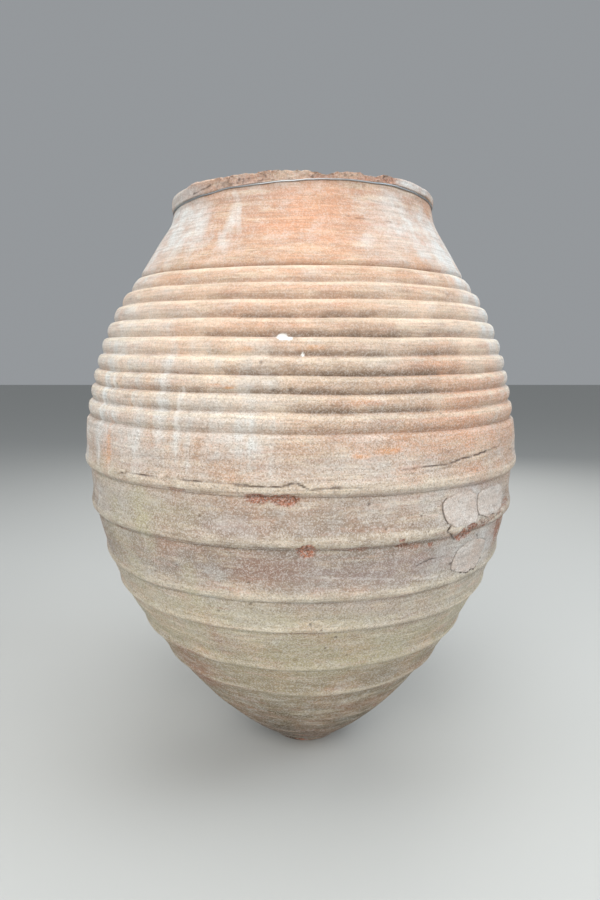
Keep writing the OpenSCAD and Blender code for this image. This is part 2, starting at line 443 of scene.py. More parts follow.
def makeThrowingTree():
    tree, given = newTree("throwing marks", dict.fromkeys((
        "Ridge Edge", "Ridge Height", "Ridge Length", "Ridge Roundness", "Ridge Uneven",
        "Rib Start", "Rib Pitch", "Rib Count", "Groove Depth", "Groove Fade", "Undercut Edge",
        "Undercut Depth", "Undercut Height", "Swell", "Wheel Mark", "Grit", "Inner Ring",
        "Inner Pitch",
    ), "Float"))

    def stored(name, kind="FLOAT"):
        return valueOf(tree, "GeometryNodeInputNamedAttribute", {"data_type": kind}, {"Name": name})

    def math2(operation, a, b=0.0, clamp=False):
        settings = {"operation": operation, "use_clamp": clamp}
        return valueOf(tree, "ShaderNodeMath", settings, {0: a, 1: b})

    def plus(a, b):
        return math2("ADD", a, b)

    def less(a, b, clamp=False):
        return math2("SUBTRACT", a, b, clamp)

    def times(a, b):
        return math2("MULTIPLY", a, b)

    def over(a, b):
        return math2("DIVIDE", a, b)

    def larger(a, b):
        return math2("MAXIMUM", a, b)

    def mix(share, a, b):
        return valueOf(tree, "ShaderNodeMix", {"data_type": "FLOAT"}, {0: share, 2: a, 3: b})

    def shape(key, x):
        node = addNode(tree, "ShaderNodeFloatCurve", None, {1: x})
        setCurve(node, clay[key])
        return node.outputs[0]

    place = valueOf(tree, "GeometryNodeInputPosition")

    def noise(scale, detail, stretch=(1, 1, 1)):
        spread = valueOf(
            tree, "ShaderNodeVectorMath", {"operation": "MULTIPLY"}, {0: place, 1: stretch}
        )
        inputs = {"Vector": spread, "Scale": scale, "Detail": detail}
        return less(valueOf(tree, "ShaderNodeTexNoise", None, inputs), 0.5)

    height, outer, inner = map(stored, ("height", "outer", "inner"))
    # Ribs: how far through its rib this height is, then the rib's shape, fading past the last one
    turn = over(less(height, given["Rib Start"]), given["Rib Pitch"])
    part = math2("FRACT", turn)
    past = larger(times(turn, -1), less(turn, given["Rib Count"]))
    reach = over(times(past, given["Rib Pitch"]), given["Groove Fade"])
    fading = math2("POWER", less(1, reach, True), 3)
    isPast = math2("GREATER_THAN", past, 0)
    groove = mix(isPast, shape("ribShape", part), fading)
    # Dirt and painted shade on the lower side of each rib
    dirtAndShade = mix(isPast, shape("ribDirtAndShade", part), fading)
    # Wear and painted highlight on the upper side of each rib
    wornAndLitRib = times(shape("ribWearAndHighlight", part), less(1, isPast))
    # Ridge: the swelling above a course's lower edge
    above = less(height, given["Ridge Edge"])
    climb = over(above, given["Ridge Length"])
    ridge = mix(given["Ridge Roundness"], shape("crispRidge", climb), shape("roundRidge", climb))
    ridge = times(ridge, math2("GREATER_THAN", above, -0.0001))
    ridge = times(ridge, plus(1, times(noise(7, 3, (1, 1, 0.2)), given["Ridge Uneven"])))
    # Undercut: a finger's groove just below the next course's edge
    below = less(given["Undercut Edge"], height)
    deep = math2("POWER", less(1, over(below, given["Undercut Height"]), True), 2)
    under = times(deep, math2("LESS_THAN", -0.002, below))

    broad = times(noise(9, 2, (1, 1, 1.4)), given["Swell"])
    lines = times(noise(16, 3, (1, 1, 9)), given["Wheel Mark"])
    rough = times(plus(plus(broad, lines), times(noise(150, 2), given["Grit"])), 2)
    hollow = larger(times(groove, given["Groove Depth"]), times(under, given["Undercut Depth"]))
    shaped = less(times(ridge, given["Ridge Height"]), hollow)
    outside = times(plus(shaped, rough), outer)
    wave = plus(times(over(height, given["Inner Pitch"]), math.tau), times(noise(5, 1), 4))
    inside = times(times(math2("SINE", wave), given["Inner Ring"]), inner)
    push = valueOf(
        tree, "ShaderNodeVectorMath", {"operation": "SCALE"},
        {0: stored("outward", "FLOAT_VECTOR"), "Scale": plus(outside, inside)},
    )
    moved = valueOf(
        tree, "GeometryNodeSetPosition", None, {"Geometry": given["Geometry"], "Offset": push}
    )
    # Dirt with painted shade goes to the grooves and under ridges; wear with painted highlight to the
    # crests
    for name, value in (("groove", larger(dirtAndShade, under)), ("crest", larger(ridge, wornAndLitRib))):
        moved = valueOf(
            tree, "GeometryNodeStoreNamedAttribute", {"data_type": "FLOAT", "domain": "POINT"},
            {"Geometry": moved, "Name": name, "Value": times(value, outer)},
        )
    return closeTree(tree, given, moved)


def applyTree(piece, tree, values):
    # Runs a Geometry Nodes tree on the piece and keeps the result as its plain mesh
    modifier = piece.modifiers.new("nodes", "NODES")
    modifier.node_group = tree
    for item in tree.interface.items_tree:
        if item.in_out == "INPUT" and item.name in values:
            modifier[item.identifier] = values[item.name]
    graph = bpy.context.evaluated_depsgraph_get()
    result = bpy.data.meshes.new_from_object(piece.evaluated_get(graph), depsgraph=graph)
    result.name = piece.name
    piece.modifiers.remove(modifier)
    piece.data = result


class Coat:
    # A finish that is laid on in coats: each one tints what is under it by an amount

    def __init__(self, name, palette):
        self.material = bpy.data.materials.new(name)
        self.material.use_nodes = True
        self.tree = self.material.node_tree
        self.shader = self.tree.nodes["Principled BSDF"]
        self.coords = addNode(self.tree, "ShaderNodeTexCoord").outputs["Object"]
        self.palette = palette
        self.colour = None

    def noise(self, stretch, scale, detail, rough=0.6):
        spread = valueOf(
            self.tree, "ShaderNodeMapping", None, {"Vector": self.coords, "Scale": stretch}
        )
        return valueOf(
            self.tree, "ShaderNodeTexNoise", None,
            {"Vector": spread, "Scale": scale, "Detail": detail, "Roughness": rough},
        )

    def stored(self, name):
        return addNode(self.tree, "ShaderNodeAttribute", {"attribute_name": name}).outputs["Fac"]

    def remap(self, value, low, high, toLow=0.0, toHigh=1.0):
        return valueOf(
            self.tree, "ShaderNodeMapRange", {"interpolation_type": "SMOOTHSTEP"},
            {0: value, 1: low, 2: high, 3: toLow, 4: toHigh},
        )

    def product(self, a, b):
        settings = {"operation": "MULTIPLY", "use_clamp": True}
        return valueOf(self.tree, "ShaderNodeMath", settings, {0: a, 1: b})

    def tint(self, amount, below, above):
        return addNode(
            self.tree, "ShaderNodeMix", {"data_type": "RGBA"}, {0: amount, 6: below, 7: above}
        ).outputs[2]

    def blend(self, amount, first, second):
        return self.tint(amount, hexColour(self.palette[first]), hexColour(self.palette[second]))

    def lay(self, key, amount, share=None):
        if share is not None:
            amount = self.product(amount, share)
        self.colour = self.tint(amount, self.colour, hexColour(self.palette[key]))

    def smear(self, *smears):
        # What a wet hand has drawn out: stretch, scale, where it starts to show, amount, colour
        for stretch, scale, low, amount, key in smears:
            value = self.noise(stretch, scale, 6, 0.65)
            self.lay(key, self.remap(value, low, low + 0.2), amount)

    def specks(self):
        # Grains 2 mm across, because real ones are too fine to show
        grains = addNode(
            self.tree, "ShaderNodeTexVoronoi", None, {"Vector": self.coords, "Scale": 540}
        )
        return addNode(
            self.tree, "ShaderNodeSeparateColor", None, {0: grains.outputs["Color"]}
        ).outputs

    def finish(self, height, strength, distance, inputs):
        bump = {"Strength": strength, "Distance": distance, "Height": height}
        normal = valueOf(self.tree, "ShaderNodeBump", None, bump)
        setInputs(self.tree, self.shader, {
            "Base Color": self.colour, "Normal": normal, "Specular IOR Level": 0.25, **inputs,
        })
        return self.material


terracotta = {
    # Clay colour by share of the height, from the foot up. The darkest stops, at the foot, are painted
    # shade over the clay's own colour
    "byHeight": [
        (0.00, "#4f4031"), (0.05, "#5c4d3b"), (0.11, "#766849"), (0.16, "#8c7c5f"),
        (0.22, "#9f9075"), (0.27, "#bbaf8f"), (0.32, "#c6bda1"), (0.355, "#c9bfa8"),
        (0.39, "#b3a894"), (0.42, "#a1948a"), (0.47, "#9c8d7f"), (0.51, "#b09c8b"),
        (0.55, "#c3ad99"), (0.60, "#c6a78f"), (0.65, "#e0c4ab"), (0.71, "#e8d0b8"),
        (0.78, "#e8cfb7"), (0.86, "#d1aa8d"), (0.91, "#c59a7e"), (1.00, "#ba9c89"),
    ],
    "drift": 0.09,             # how far, as a share of the height, those colours stray
    "warm": "#d99f7b",
    "pale": "#e0e2df",
    "cream": "#ecdcc2",
    "rose": "#c69683",
    "mauve": "#a08a84",
    "olive": "#b9b08f",
    "ochre": "#dd9a5c",
    # Wear, and painted highlight on crests and the lip's top edge
    "wearAndHighlight": "#f4e6cd",
    # Dirt, and painted shade in the grooves and under ridges
    "grimeAndShade": "#7d6a59",
    "rust": "#98694f",
    "fresh": "#bd8066",
    "freshDark": "#704836",
    "dark": "#3b2c22",
    "lime": "#f6f5f2",
}


def makeTerracotta():
    # Low-fired earthenware, hand-built and never glazed: chalky and matt, with lime that has
    # bloomed out of it, wheel lines, dirt and painted shade in the grooves, wear and painted
    # highlight on the crests, and redder clay where it is chipped
    coat = Coat("weathered terracotta", terracotta)
    tree, remap, product, stored = coat.tree, coat.remap, coat.product, coat.stored
    # The share of the height, moved up or down a little in clouds, gives the ground colour,
    # with painted shade darkening it towards the foot
    up = addNode(tree, "ShaderNodeSeparateXYZ", None, {0: coat.coords}).outputs["Z"]
    cloud, drift = coat.noise((1, 1, 1.6), 5, 4, 0.55), terracotta["drift"]
    share = valueOf(
        tree, "ShaderNodeMath", {"operation": "MULTIPLY_ADD"},
        {0: cloud, 1: drift, 2: product(up, 1 / cadHigh.z)},
    )
    share = valueOf(tree, "ShaderNodeMath", {"operation": "SUBTRACT"}, {0: share, 1: drift / 2})
    ramp = addNode(tree, "ShaderNodeValToRGB", None, {0: share})
    setRamp(ramp, [(place, hexColour(text)) for place, text in terracotta["byHeight"]])
    coat.colour = ramp.outputs[0]

    # Clouds of redder clay and of pale bloom, streaks that run down and lines that run round
    blotch = coat.noise((1, 1, 1.3), 11, 6)
    coat.lay("warm", remap(blotch, 0.45, 0.72), 0.35)
    coat.smear(
        ((1, 1, 6), 15, 0.47, 0.5, "cream"), ((1.1, 0.9, 7), 13, 0.5, 0.5, "rose"),
        ((0.9, 1.1, 5), 17, 0.52, 0.45, "grimeAndShade"),
    )
    coat.lay("warm", stored("warm"), remap(blotch, 0.3, 0.6, 0.45, 1))
    chalk = coat.noise((1, 1, 1.2), 26, 8, 0.7)
    coat.lay("pale", remap(chalk, 0.48, 0.7), 0.3)
    coat.lay("pale", stored("bloom"), remap(chalk, 0.3, 0.62, 0.35, 1))
    drips = remap(coat.noise((1, 1, 0.11), 34, 6), 0.47, 0.7)
    run = product(drips, remap(stored("runs"), 0, 1, 0.1, 0.9))
    coat.lay("pale", run, remap(chalk, 0.32, 0.62, 0.35, 1))
    # Crests of ridges and ribs, and the lip's top edge, are painted pale: wear and painted highlight
    coat.lay("wearAndHighlight", remap(stored("crest"), 0.55, 1.0), remap(chalk, 0.3, 0.6, 0.12, 0.5))
    coat.lay("grimeAndShade", remap(coat.noise((1, 1, 26), 12, 5, 0.65), 0.35, 0.6, 0.28, 0.0))
    # Dirt with painted shade in the grooves, on the lower side of each rib and under ridges,
    # and dirt alone in patches of its own
    held = coat.noise((1, 1, 2.5), 30, 6, 0.65)
    soiled = stored("grimeAndShade")
    grooveDirtAndShade = product(stored("groove"), remap(held, 0.25, 0.6, 0.45, 1))
    coat.lay("grimeAndShade", grooveDirtAndShade, remap(soiled, 0.0, 0.7, 0.34, 1.0))
    coat.lay("grimeAndShade", soiled, remap(held, 0.3, 0.65, 0.1, 0.5))
    for channel in ("mauve", "olive", "ochre", "rust"):
        coat.lay(channel, stored(channel), remap(held, 0.3, 0.6, 0.3, 1))
    # Broken clay, crumbly and redder inside
    crumbs = remap(coat.noise((1, 1, 1), 230, 5, 0.7), 0.4, 0.6)
    coat.colour = coat.tint(stored("chip"), coat.colour, coat.blend(crumbs, "freshDark", "fresh"))
    # Sand and chalk. The belly is coarser than the neck, which a wet hand has smoothed.
    coarse = remap(up, 0.62, 0.9, 1.0, 0.5)
    for key, speck, amount in zip(("grimeAndShade", "lime"), coat.specks(), (0.44, 0.32)):
        coat.lay(key, remap(speck, 0.4, 1.0, 0.0, amount), coarse)
    for key, stretch, scale, low, amount in (
        ("grimeAndShade", (1, 1, 2.2), 62, 0.54, 0.22), ("lime", (1, 1, 2), 55, 0.53, 0.14),
    ):
        fleck = coat.noise(stretch, scale, 5, 0.7)
        coat.lay(key, remap(fleck, low, low + 0.16, 0.0, amount), coarse)
    # Cracks and splashed lime lie on top of everything
    coat.lay("dark", stored("crack"), 0.95)
    coat.lay("lime", stored("lime"))
    rough = remap(chalk, 0.2, 0.8, 0.82, 0.97)
    return coat.finish(coat.noise((1, 1, 1.8), 520, 4, 0.7), 0.8, 0.0016, {"Roughness": rough})


mortarLook = {
    "plain": "#cfc3b9", "warm": "#c6b2a4", "grey": "#aba199", "white": "#ece9e4",
    "speck": "#7c6f64",
}


def makeMortar():
    # Lime mortar, trowelled smooth by hand: paler and greyer than the clay, with fine sand
    coat = Coat("lime mortar", mortarLook)
    cloud = coat.noise((1, 1, 1), 14, 6)
    coat.colour = coat.blend(coat.remap(cloud, 0.35, 0.7), "plain", "warm")
    coat.smear(
        ((1, 1, 4), 22, 0.48, 0.6, "grey"), ((1, 1, 1), 40, 0.48, 0.45, "white"),
        ((1, 1, 9), 26, 0.48, 0.4, "speck"),
    )
    for key, speck in zip(("speck", "white"), coat.specks()):
        coat.lay(key, coat.remap(speck, 0.4, 1.0, 0.0, 0.38))
    coat.lay("speck", coat.stored("edge"), 0.1)
    return coat.finish(coat.noise((1, 1, 1), 480, 4, 0.7), 0.45, 0.001, {"Roughness": 0.9})


zinc = {"dull": "#8f9396", "bright": "#c3c7c9"}


def makeGalvanisedWire():
    # Hot-dipped galvanised steel: a dull zinc skin, mottled grey, rougher where it has whitened
    coat = Coat("galvanised steel wire", zinc)
    spangle = coat.noise((1, 1, 1), 90, 4)
    setInputs(coat.tree, coat.shader, {
        "Base Color": coat.blend(spangle, "dull", "bright"),
        "Roughness": coat.remap(spangle, 0.3, 0.7, 0.32, 0.55), "Metallic": 1.0,
    })
    return coat.material


terracottaFinish = makeTerracotta()
mortarFinish = makeMortar()
wireFinish = makeGalvanisedWire()
throwingTree = makeThrowingTree()
print("finishes made")

# Damage: cracks, chips and pits, cut into the clay and coloured as fresh or dirty clay
damage = {
    # width, depth, then the crack's places in order
    "cracks": [
        (2.4, 1.6, [(-43, 614), (-40.3, 616), (-30.4, 617), (-25.2, 617), (-18, 616.5), (-10.6, 615),
                    (-6.6, 613), (-3.7, 615), (-1.1, 620), (1.7, 610), (7.5, 613), (12, 612)]),
        (2.2, 1.4, [(21, 634), (24.8, 636), (33.8, 638), (37, 643), (41.1, 645), (49.2, 652),
                    (53, 654)]),
        (1.6, 0.7, [(14.9, 1027), (19, 1024), (24.2, 1023), (35, 1023), (39, 1020)]),
        (2.2, 1.8, [(47, 502), (48.2, 492), (47.6, 484), (48.5, 474)]),
        (1.8, 1.2, [(26.5, 472), (28, 476), (30.5, 480), (35, 481)]),
        (2.6, 1.8, [(34.6, 535), (33.4, 526), (35.2, 519), (37.5, 506)]),
        (1.8, 1.2, [(45.4, 533), (46.6, 526), (50, 521), (54.8, 530), (60, 527)]),
        (1.6, 1.0, [(62, 640), (70, 632), (78, 634), (90, 628), (97, 631)]),
        (1.8, 1.2, [(128, 486), (131, 470), (129, 452), (134, 440), (133, 425)]),
        (1.6, 1.0, [(-96, 560), (-104, 556), (-112, 560), (-121, 553)]),
        (1.8, 1.2, [(176, 701), (179, 688), (177, 671), (182, 655)]),
        (1.6, 1.0, [(-140, 1040), (-138, 1022), (-141, 1001), (-139, 985)]),
    ],
    # place, half width, half height, depth
    "chips": [
        ((-9.2, 594), 21, 9, 3.2), ((-3.4, 592), 22, 12, 3.6), ((1.0, 512), 16, 14, 3.4),
        ((22.2, 513), 13, 5, 2.4), ((21.4, 523), 6, 4, 1.6), ((29.6, 507), 6, 5, 1.8),
        ((39.8, 513), 20, 13, 3.2), ((42.2, 521), 17, 13, 3.0), ((48.4, 517), 7, 4, 2.6),
        ((55.5, 541), 8, 5, 2.4), ((39.9, 131), 9, 6, 2.5), ((60.5, 500), 10, 24, 2.6),
        ((64, 482), 12, 18, 2.4), ((96, 513), 15, 5, 2.6), ((150, 597), 20, 6, 3.0),
        ((-112, 597), 14, 5, 2.6), ((-158, 513), 18, 6, 3.0), ((-76, 423), 12, 4, 2.0),
        ((118, 364), 14, 5, 2.4), ((-130, 281), 12, 4, 2.2), ((171, 212), 14, 4, 2.0),
        ((-8, 4), 14, 4, 1.5), ((31, 8), 12, 4, 1.5), ((-70, 8), 10, 4, 1.4),
        ((140, 7), 14, 4, 1.6),
    ],
    # Broken places that have weathered back to the colour of the wall
    "scars": [
        ((46.0, 523), 20, 13, 2.6), ((51.0, 529), 20, 13, 2.6), ((57.0, 536), 22, 12, 2.4),
        ((63.0, 541), 20, 9, 2.0), ((63.0, 495), 22, 34, 1.8), ((24.5, 509), 18, 6, 1.8),
        ((-27, 598), 20, 5, 1.6), ((12.0, 514), 20, 5, 1.5), ((-48, 513), 26, 5, 1.8),
        ((104, 598), 30, 7, 2.2), ((-128, 423), 26, 6, 2.0), ((158, 513), 28, 7, 2.2),
    ],
    # Places where only a thin skin has come away
    "flakes": [
        ((-15.5, 549), 19, 19, 1.2), ((-11, 543), 16, 17, 0.9), ((-4.5, 541), 14, 20, 1.1),
        ((1.5, 556), 18, 14, 0.8), ((29.5, 487), 17, 14, 1.2), ((36.5, 494), 20, 12, 0.9),
        ((-33, 466), 24, 16, 0.9), ((-22, 690), 16, 9, 0.8), ((14, 575), 14, 9, 0.8),
        ((140, 560), 24, 18, 1.0), ((-140, 470), 26, 20, 1.0), ((175, 900), 22, 16, 0.9),
    ],
    # place, radius, depth
    "pits": [
        ((13.9, 583), 3.2, 2.0), ((15.5, 579), 2.4, 1.4), ((37.8, 461), 3.6, 2.2),
        ((1.8, 381), 3.2, 2.0), ((4.5, 372), 2.6, 1.6), ((8.4, 352), 3.2, 1.8),
        ((12.2, 310), 3.4, 2.0), ((6.0, 330), 2.6, 1.5), ((26.5, 556), 2.6, 1.5),
        ((24, 545), 2.2, 1.3), ((28, 532), 2.4, 1.3), ((-8.6, 793), 3.2, 1.6),
        ((-5.7, 753), 3.0, 1.5), ((-2.2, 753), 3.6, 1.6), ((-22, 560), 2.6, 1.4),
        ((-30, 470), 3.0, 1.5), ((-12, 455), 2.4, 1.3), ((40, 600), 2.6, 1.4),
    ],
    "smallPits": 420,
    "seed": 11,
    # Sizes, in metres, of the noises that fray the edges and that open and close the cracks
    "frays": 0.009,
    "finelyFrays": 0.0042,
    "gapes": 0.028,
}


def apart(phi, places):
    return (phi - places + 180) % 360 - 180


def strokeDistance(phi, s, path):
    # Distance on the wall, in mm, from a run of places
    best = np.full(phi.shape, 1e6)
    for (a0, s0), (a1, s1) in zip(path, path[1:]):
        middle = (s0 + s1) / 2
        scale = math.radians(1) * float(outlineRadius(np.array(middle)))
        steep = math.hypot(1, float(outlineSlope(np.array(middle))))
        dx, dy = apart(phi, a0) * scale, (s - s0) * steep
        ex, ey = (a1 - a0) * scale, (s1 - s0) * steep
        t = np.clip((dx * ex + dy * ey) / max(ex * ex + ey * ey, 1e-6), 0, 1)
        best = np.minimum(best, np.hypot(dx - t * ex, dy - t * ey))
    return best


def blobDistance(phi, s, place, halfWidth, halfHeight):
    # 0 at the middle and 1 on the rim of an oval place
    scale = math.radians(1) * float(outlineRadius(np.array(place[1])))
    steep = math.hypot(1, float(outlineSlope(np.array(place[1]))))
    dx = apart(phi, place[0]) * scale / halfWidth
    return np.hypot(dx, (s - place[1]) * steep / halfHeight)


def cutDamage(phi, s, points):
    # Depth of clay lost at each point, and how much of it shows as broken clay or as a dark crack
    rag = softNoise(points, damage["frays"], 5)
    ragFine = softNoise(points, damage["finelyFrays"], 6, 1)
    gaping = smoothStep(-0.45, 0.25, softNoise(points, damage["gapes"], 7))
    loss, chip, crack = np.zeros_like(s), np.zeros_like(s), np.zeros_like(s)
    for width, depth, path in damage["cracks"]:
        heights = [p[1] for p in path]
        near = (s > min(heights) - 15) & (s < max(heights) + 15)
        if near.any():
            d = strokeDistance(phi[near], s[near], path) + 1.2 * rag[near]
            cut = smoothStep(0.8 * width, 0.2 * width, np.abs(d)) * (0.35 + 0.65 * gaping[near])
            loss[near] = np.maximum(loss[near], depth * cut)
            crack[near] = np.maximum(crack[near], cut * min(1, depth / 1.5))
    for kind, redness in (("chips", 1.0), ("scars", 0.42), ("flakes", 0.0)):
        for place, halfWidth, halfHeight, depth in damage[kind]:
            near = np.abs(s - place[1]) < 1.8 * halfHeight + 4
            if near.any():
                d = blobDistance(phi[near], s[near], place, halfWidth, halfHeight)
                d = d + 0.34 * rag[near] + 0.2 * ragFine[near]
                cut = smoothStep(1.0, 0.8, d)
                grain = 0.75 + 0.5 * ragFine[near]
                loss[near] = np.maximum(loss[near], depth * cut * grain)
                chip[near] = np.maximum(chip[near], redness * cut)
    rng = np.random.default_rng(damage["seed"])
    count = damage["smallPits"]
    angles, heights = rng.uniform(-180, 180, count), rng.triangular(90, 430, 1060, count)
    radii, chances = rng.uniform(1.3, 3.2, count) ** 1.2, rng.uniform(0, 1, count)
    pits = damage["pits"] + [((a, h), r, 0.5 * r) for a, h, r in zip(angles, heights, radii)]
    chances = np.concatenate([np.zeros(len(damage["pits"])), chances])
    order = np.argsort(s, kind="stable")
    sortedS = s[order]
    for k, (place, radius, depth) in enumerate(pits):
        low, high = np.searchsorted(sortedS, [place[1] - 2 * radius, place[1] + 2 * radius])
        near = order[low:high]
        near = near[np.abs(apart(phi[near], place[0])) < 3]
        if len(near):
            d = blobDistance(phi[near], s[near], place, radius, 0.8 * radius) + 0.3 * ragFine[near]
            cut = smoothStep(1.15, 0.4, d)
            loss[near] = np.maximum(loss[near], depth * cut)
            dark = 0.6 if chances[k] < 0.1 else 0.1
            crack[near] = np.maximum(crack[near], dark * cut)
    return loss, chip, crack


# What has settled on the clay: place, half width and half height in mm, and strength
patina = {
    "bloom": [
        ((-54, 745), 17, 95, 0.85), ((-49, 725), 11, 60, 0.6), ((-31, 735), 17, 80, 0.8),
        ((-26.5, 700), 12, 55, 0.6), ((-56, 650), 14, 60, 0.6), ((-37, 700), 10, 50, 0.5),
        ((66, 880), 90, 80, 0.75), ((40, 1035), 70, 60, 0.6), ((30, 985), 60, 50, 0.35),
        ((50, 1094), 80, 16, 0.9), ((58, 1096), 80, 16, 0.7), ((-58, 1092), 90, 15, 0.8),
        ((110, 1098), 90, 14, 0.5), ((-74, 980), 130, 110, 0.8), ((78, 960), 130, 130, 0.9),
        ((74, 800), 110, 120, 0.9), ((-76, 800), 110, 120, 0.5), ((80, 640), 110, 80, 0.6),
        ((-78, 620), 110, 90, 0.5), ((-62, 1040), 150, 60, 0.9), ((-50, 1000), 90, 50, 0.55),
        ((-25, 1010), 16, 70, 0.4), ((-38, 1020), 18, 40, 0.5), ((52, 1010), 80, 70, 0.7),
        ((70, 990), 120, 60, 0.7), ((-58, 830), 150, 110, 0.5), ((-60, 700), 130, 70, 0.6),
        ((-42, 670), 70, 60, 0.6), ((-9, 745), 46, 50, 0.55), ((-20, 715), 90, 36, 0.5),
        ((-9, 812), 34, 22, 0.4), ((-30, 785), 60, 26, 0.4), ((-33, 640), 60, 30, 0.35),
        ((-12, 668), 60, 24, 0.3), ((47, 560), 110, 36, 0.6), ((50, 475), 110, 36, 0.65),
        ((20, 800), 50, 30, 0.3), ((-50, 560), 110, 60, 0.35), ((30, 590), 160, 30, 0.35),
        ((44, 470), 120, 60, 0.4), ((10, 640), 190, 30, 0.3), ((120, 760), 190, 120, 0.5),
        ((-150, 660), 170, 120, 0.5), ((170, 980), 150, 80, 0.6), ((160, 470), 190, 80, 0.4),
        ((-110, 420), 170, 60, 0.35),
    ],
    "warm": [
        ((1, 1022), 78, 70, 0.75), ((-33, 1022), 22, 28, 0.4), ((-3, 860), 170, 60, 0.55),
        ((24, 770), 130, 34, 0.7), ((14, 735), 60, 12, 0.8), ((36, 795), 110, 40, 0.6),
        ((42, 735), 130, 50, 0.7), ((30, 690), 170, 40, 0.55), ((-30, 800), 60, 60, 0.4),
        ((62, 720), 120, 110, 0.5), ((-50, 650), 24, 60, 0.6), ((48, 610), 130, 30, 0.4),
        ((12, 658), 16, 7, 0.8), ((16, 662), 12, 6, 0.8), ((20, 665), 12, 6, 0.7),
        ((-17, 757), 28, 4, 0.7), ((60, 480), 90, 40, 0.4), ((100, 900), 170, 70, 0.6),
        ((-120, 780), 180, 110, 0.5), ((-160, 880), 130, 60, 0.5), ((150, 620), 150, 60, 0.4),
    ],
    "grimeAndShade": [
        ((-4.2, 824), 7, 2.2, 0.9), ((-1.5, 834.5), 6, 2, 0.9), ((0, 532), 200, 26, 0.4),
        ((12, 772), 230, 62, 0.9), ((16, 720), 130, 26, 0.5), ((-30, 745), 120, 50, 0.35),
        ((10, 835), 230, 40, 0.6), ((0, 880), 260, 60, 0.3), ((110, 770), 260, 110, 0.7),
        ((-130, 770), 260, 110, 0.7), ((180, 770), 200, 110, 0.6), ((180, 880), 300, 60, 0.3),
        ((-30, 540), 170, 30, 0.5), ((-20, 500), 150, 34, 0.45), ((0, 545), 130, 28, 0.4),
        ((-12, 570), 40, 20, 0.35), ((-8, 525), 40, 22, 0.35), ((-60, 470), 120, 50, 0.35),
        ((0, 330), 90, 50, 0.35), ((30, 250), 120, 40, 0.25), ((0, 60), 160, 50, 0.4),
        ((180, 60), 160, 50, 0.4), ((130, 300), 150, 60, 0.3), ((-140, 520), 170, 50, 0.4),
        ((-10, 1098), 160, 14, 0.3), ((-55, 1090), 90, 20, 0.5),
    ],
    "rust": [
        ((-46, 245), 70, 44, 0.6), ((-52, 200), 60, 40, 0.6), ((-30, 216), 70, 9, 0.5),
        ((-20, 130), 90, 16, 0.3), ((-24, 350), 10, 60, 0.3), ((52, 225), 60, 30, 0.4),
        ((-38.8, 283), 40, 14, 0.8), ((-44.3, 196), 50, 18, 0.8), ((-38, 250), 50, 30, 0.4),
        ((-1.9, 44), 20, 10, 0.8), ((23.7, 1079), 5, 9, 0.9), ((-9, 470), 70, 30, 0.4),
        ((63, 500), 60, 50, 0.55), ((30, 160), 50, 30, 0.35), ((140, 210), 60, 30, 0.5),
        ((-150, 330), 70, 30, 0.4), ((155, 1077), 6, 12, 0.7),
    ],
    "mauve": [
        ((-46, 1092), 80, 13, 0.3), ((-20, 1092), 60, 12, 0.35), ((8, 1090), 40, 10, 0.3),
        ((150, 1092), 120, 12, 0.4), ((-130, 1092), 120, 12, 0.4), ((6, 470), 190, 36, 0.5),
        ((24, 470), 120, 40, 0.4), ((14, 410), 150, 26, 0.4), ((30, 375), 110, 30, 0.35),
        ((-14, 545), 90, 30, 0.3), ((48, 590), 90, 20, 0.3), ((-20, 330), 60, 40, 0.25),
        ((150, 450), 190, 60, 0.4), ((-120, 380), 150, 50, 0.3),
    ],
    "olive": [
        ((-38, 545), 22, 60, 0.75), ((-27, 430), 18, 60, 0.6), ((-46, 420), 30, 60, 0.5),
        ((-38, 555), 120, 34, 0.5), ((-50, 480), 120, 60, 0.4), ((-34, 395), 130, 30, 0.45),
        ((0, 392), 120, 20, 0.3), ((10, 300), 150, 60, 0.45), ((-10, 220), 130, 60, 0.3),
        ((-52, 600), 90, 40, 0.3), ((100, 320), 160, 60, 0.4), ((-160, 300), 160, 60, 0.4),
    ],
    "ochre": [
        ((-18.5, 759), 11, 2.2, 0.9), ((-15.0, 755.5), 11, 1.8, 0.8), ((-12.5, 813), 26, 6, 0.5),
        ((3, 815), 18, 5, 0.4), ((12, 658), 15, 5, 0.55), ((18, 664), 22, 6, 0.6),
        ((-49, 655), 9, 46, 0.45), ((100, 690), 30, 10, 0.4), ((-150, 820), 30, 8, 0.4),
    ],
    "runs": [
        ((-34, 720), 190, 170, 1.0), ((-10, 700), 60, 140, 0.8), ((-30, 1010), 110, 60, 0.7),
        ((-52, 560), 120, 120, 0.6), ((60, 960), 120, 110, 0.6), ((44, 620), 120, 60, 0.3),
        ((140, 800), 200, 180, 0.8), ((-140, 640), 200, 160, 0.7), ((-150, 1010), 130, 70, 0.6),
    ],
    "lime": [
        ((-4.0, 830.5), 9, 7, 0.9), ((-2.9, 829), 7.5, 5.5, 0.9), ((-5.0, 832), 5, 4, 0.9),
        ((0.3, 806), 3.6, 3.2, 0.9), ((-26, 745), 4, 14, 0.3), ((-15, 553), 24, 17, 0.13),
        ((-11, 540), 16, 14, 0.1), ((0, 552), 18, 14, 0.08), ((168, 760), 26, 16, 0.2),
        ((-110, 900), 20, 14, 0.2),
    ],
}
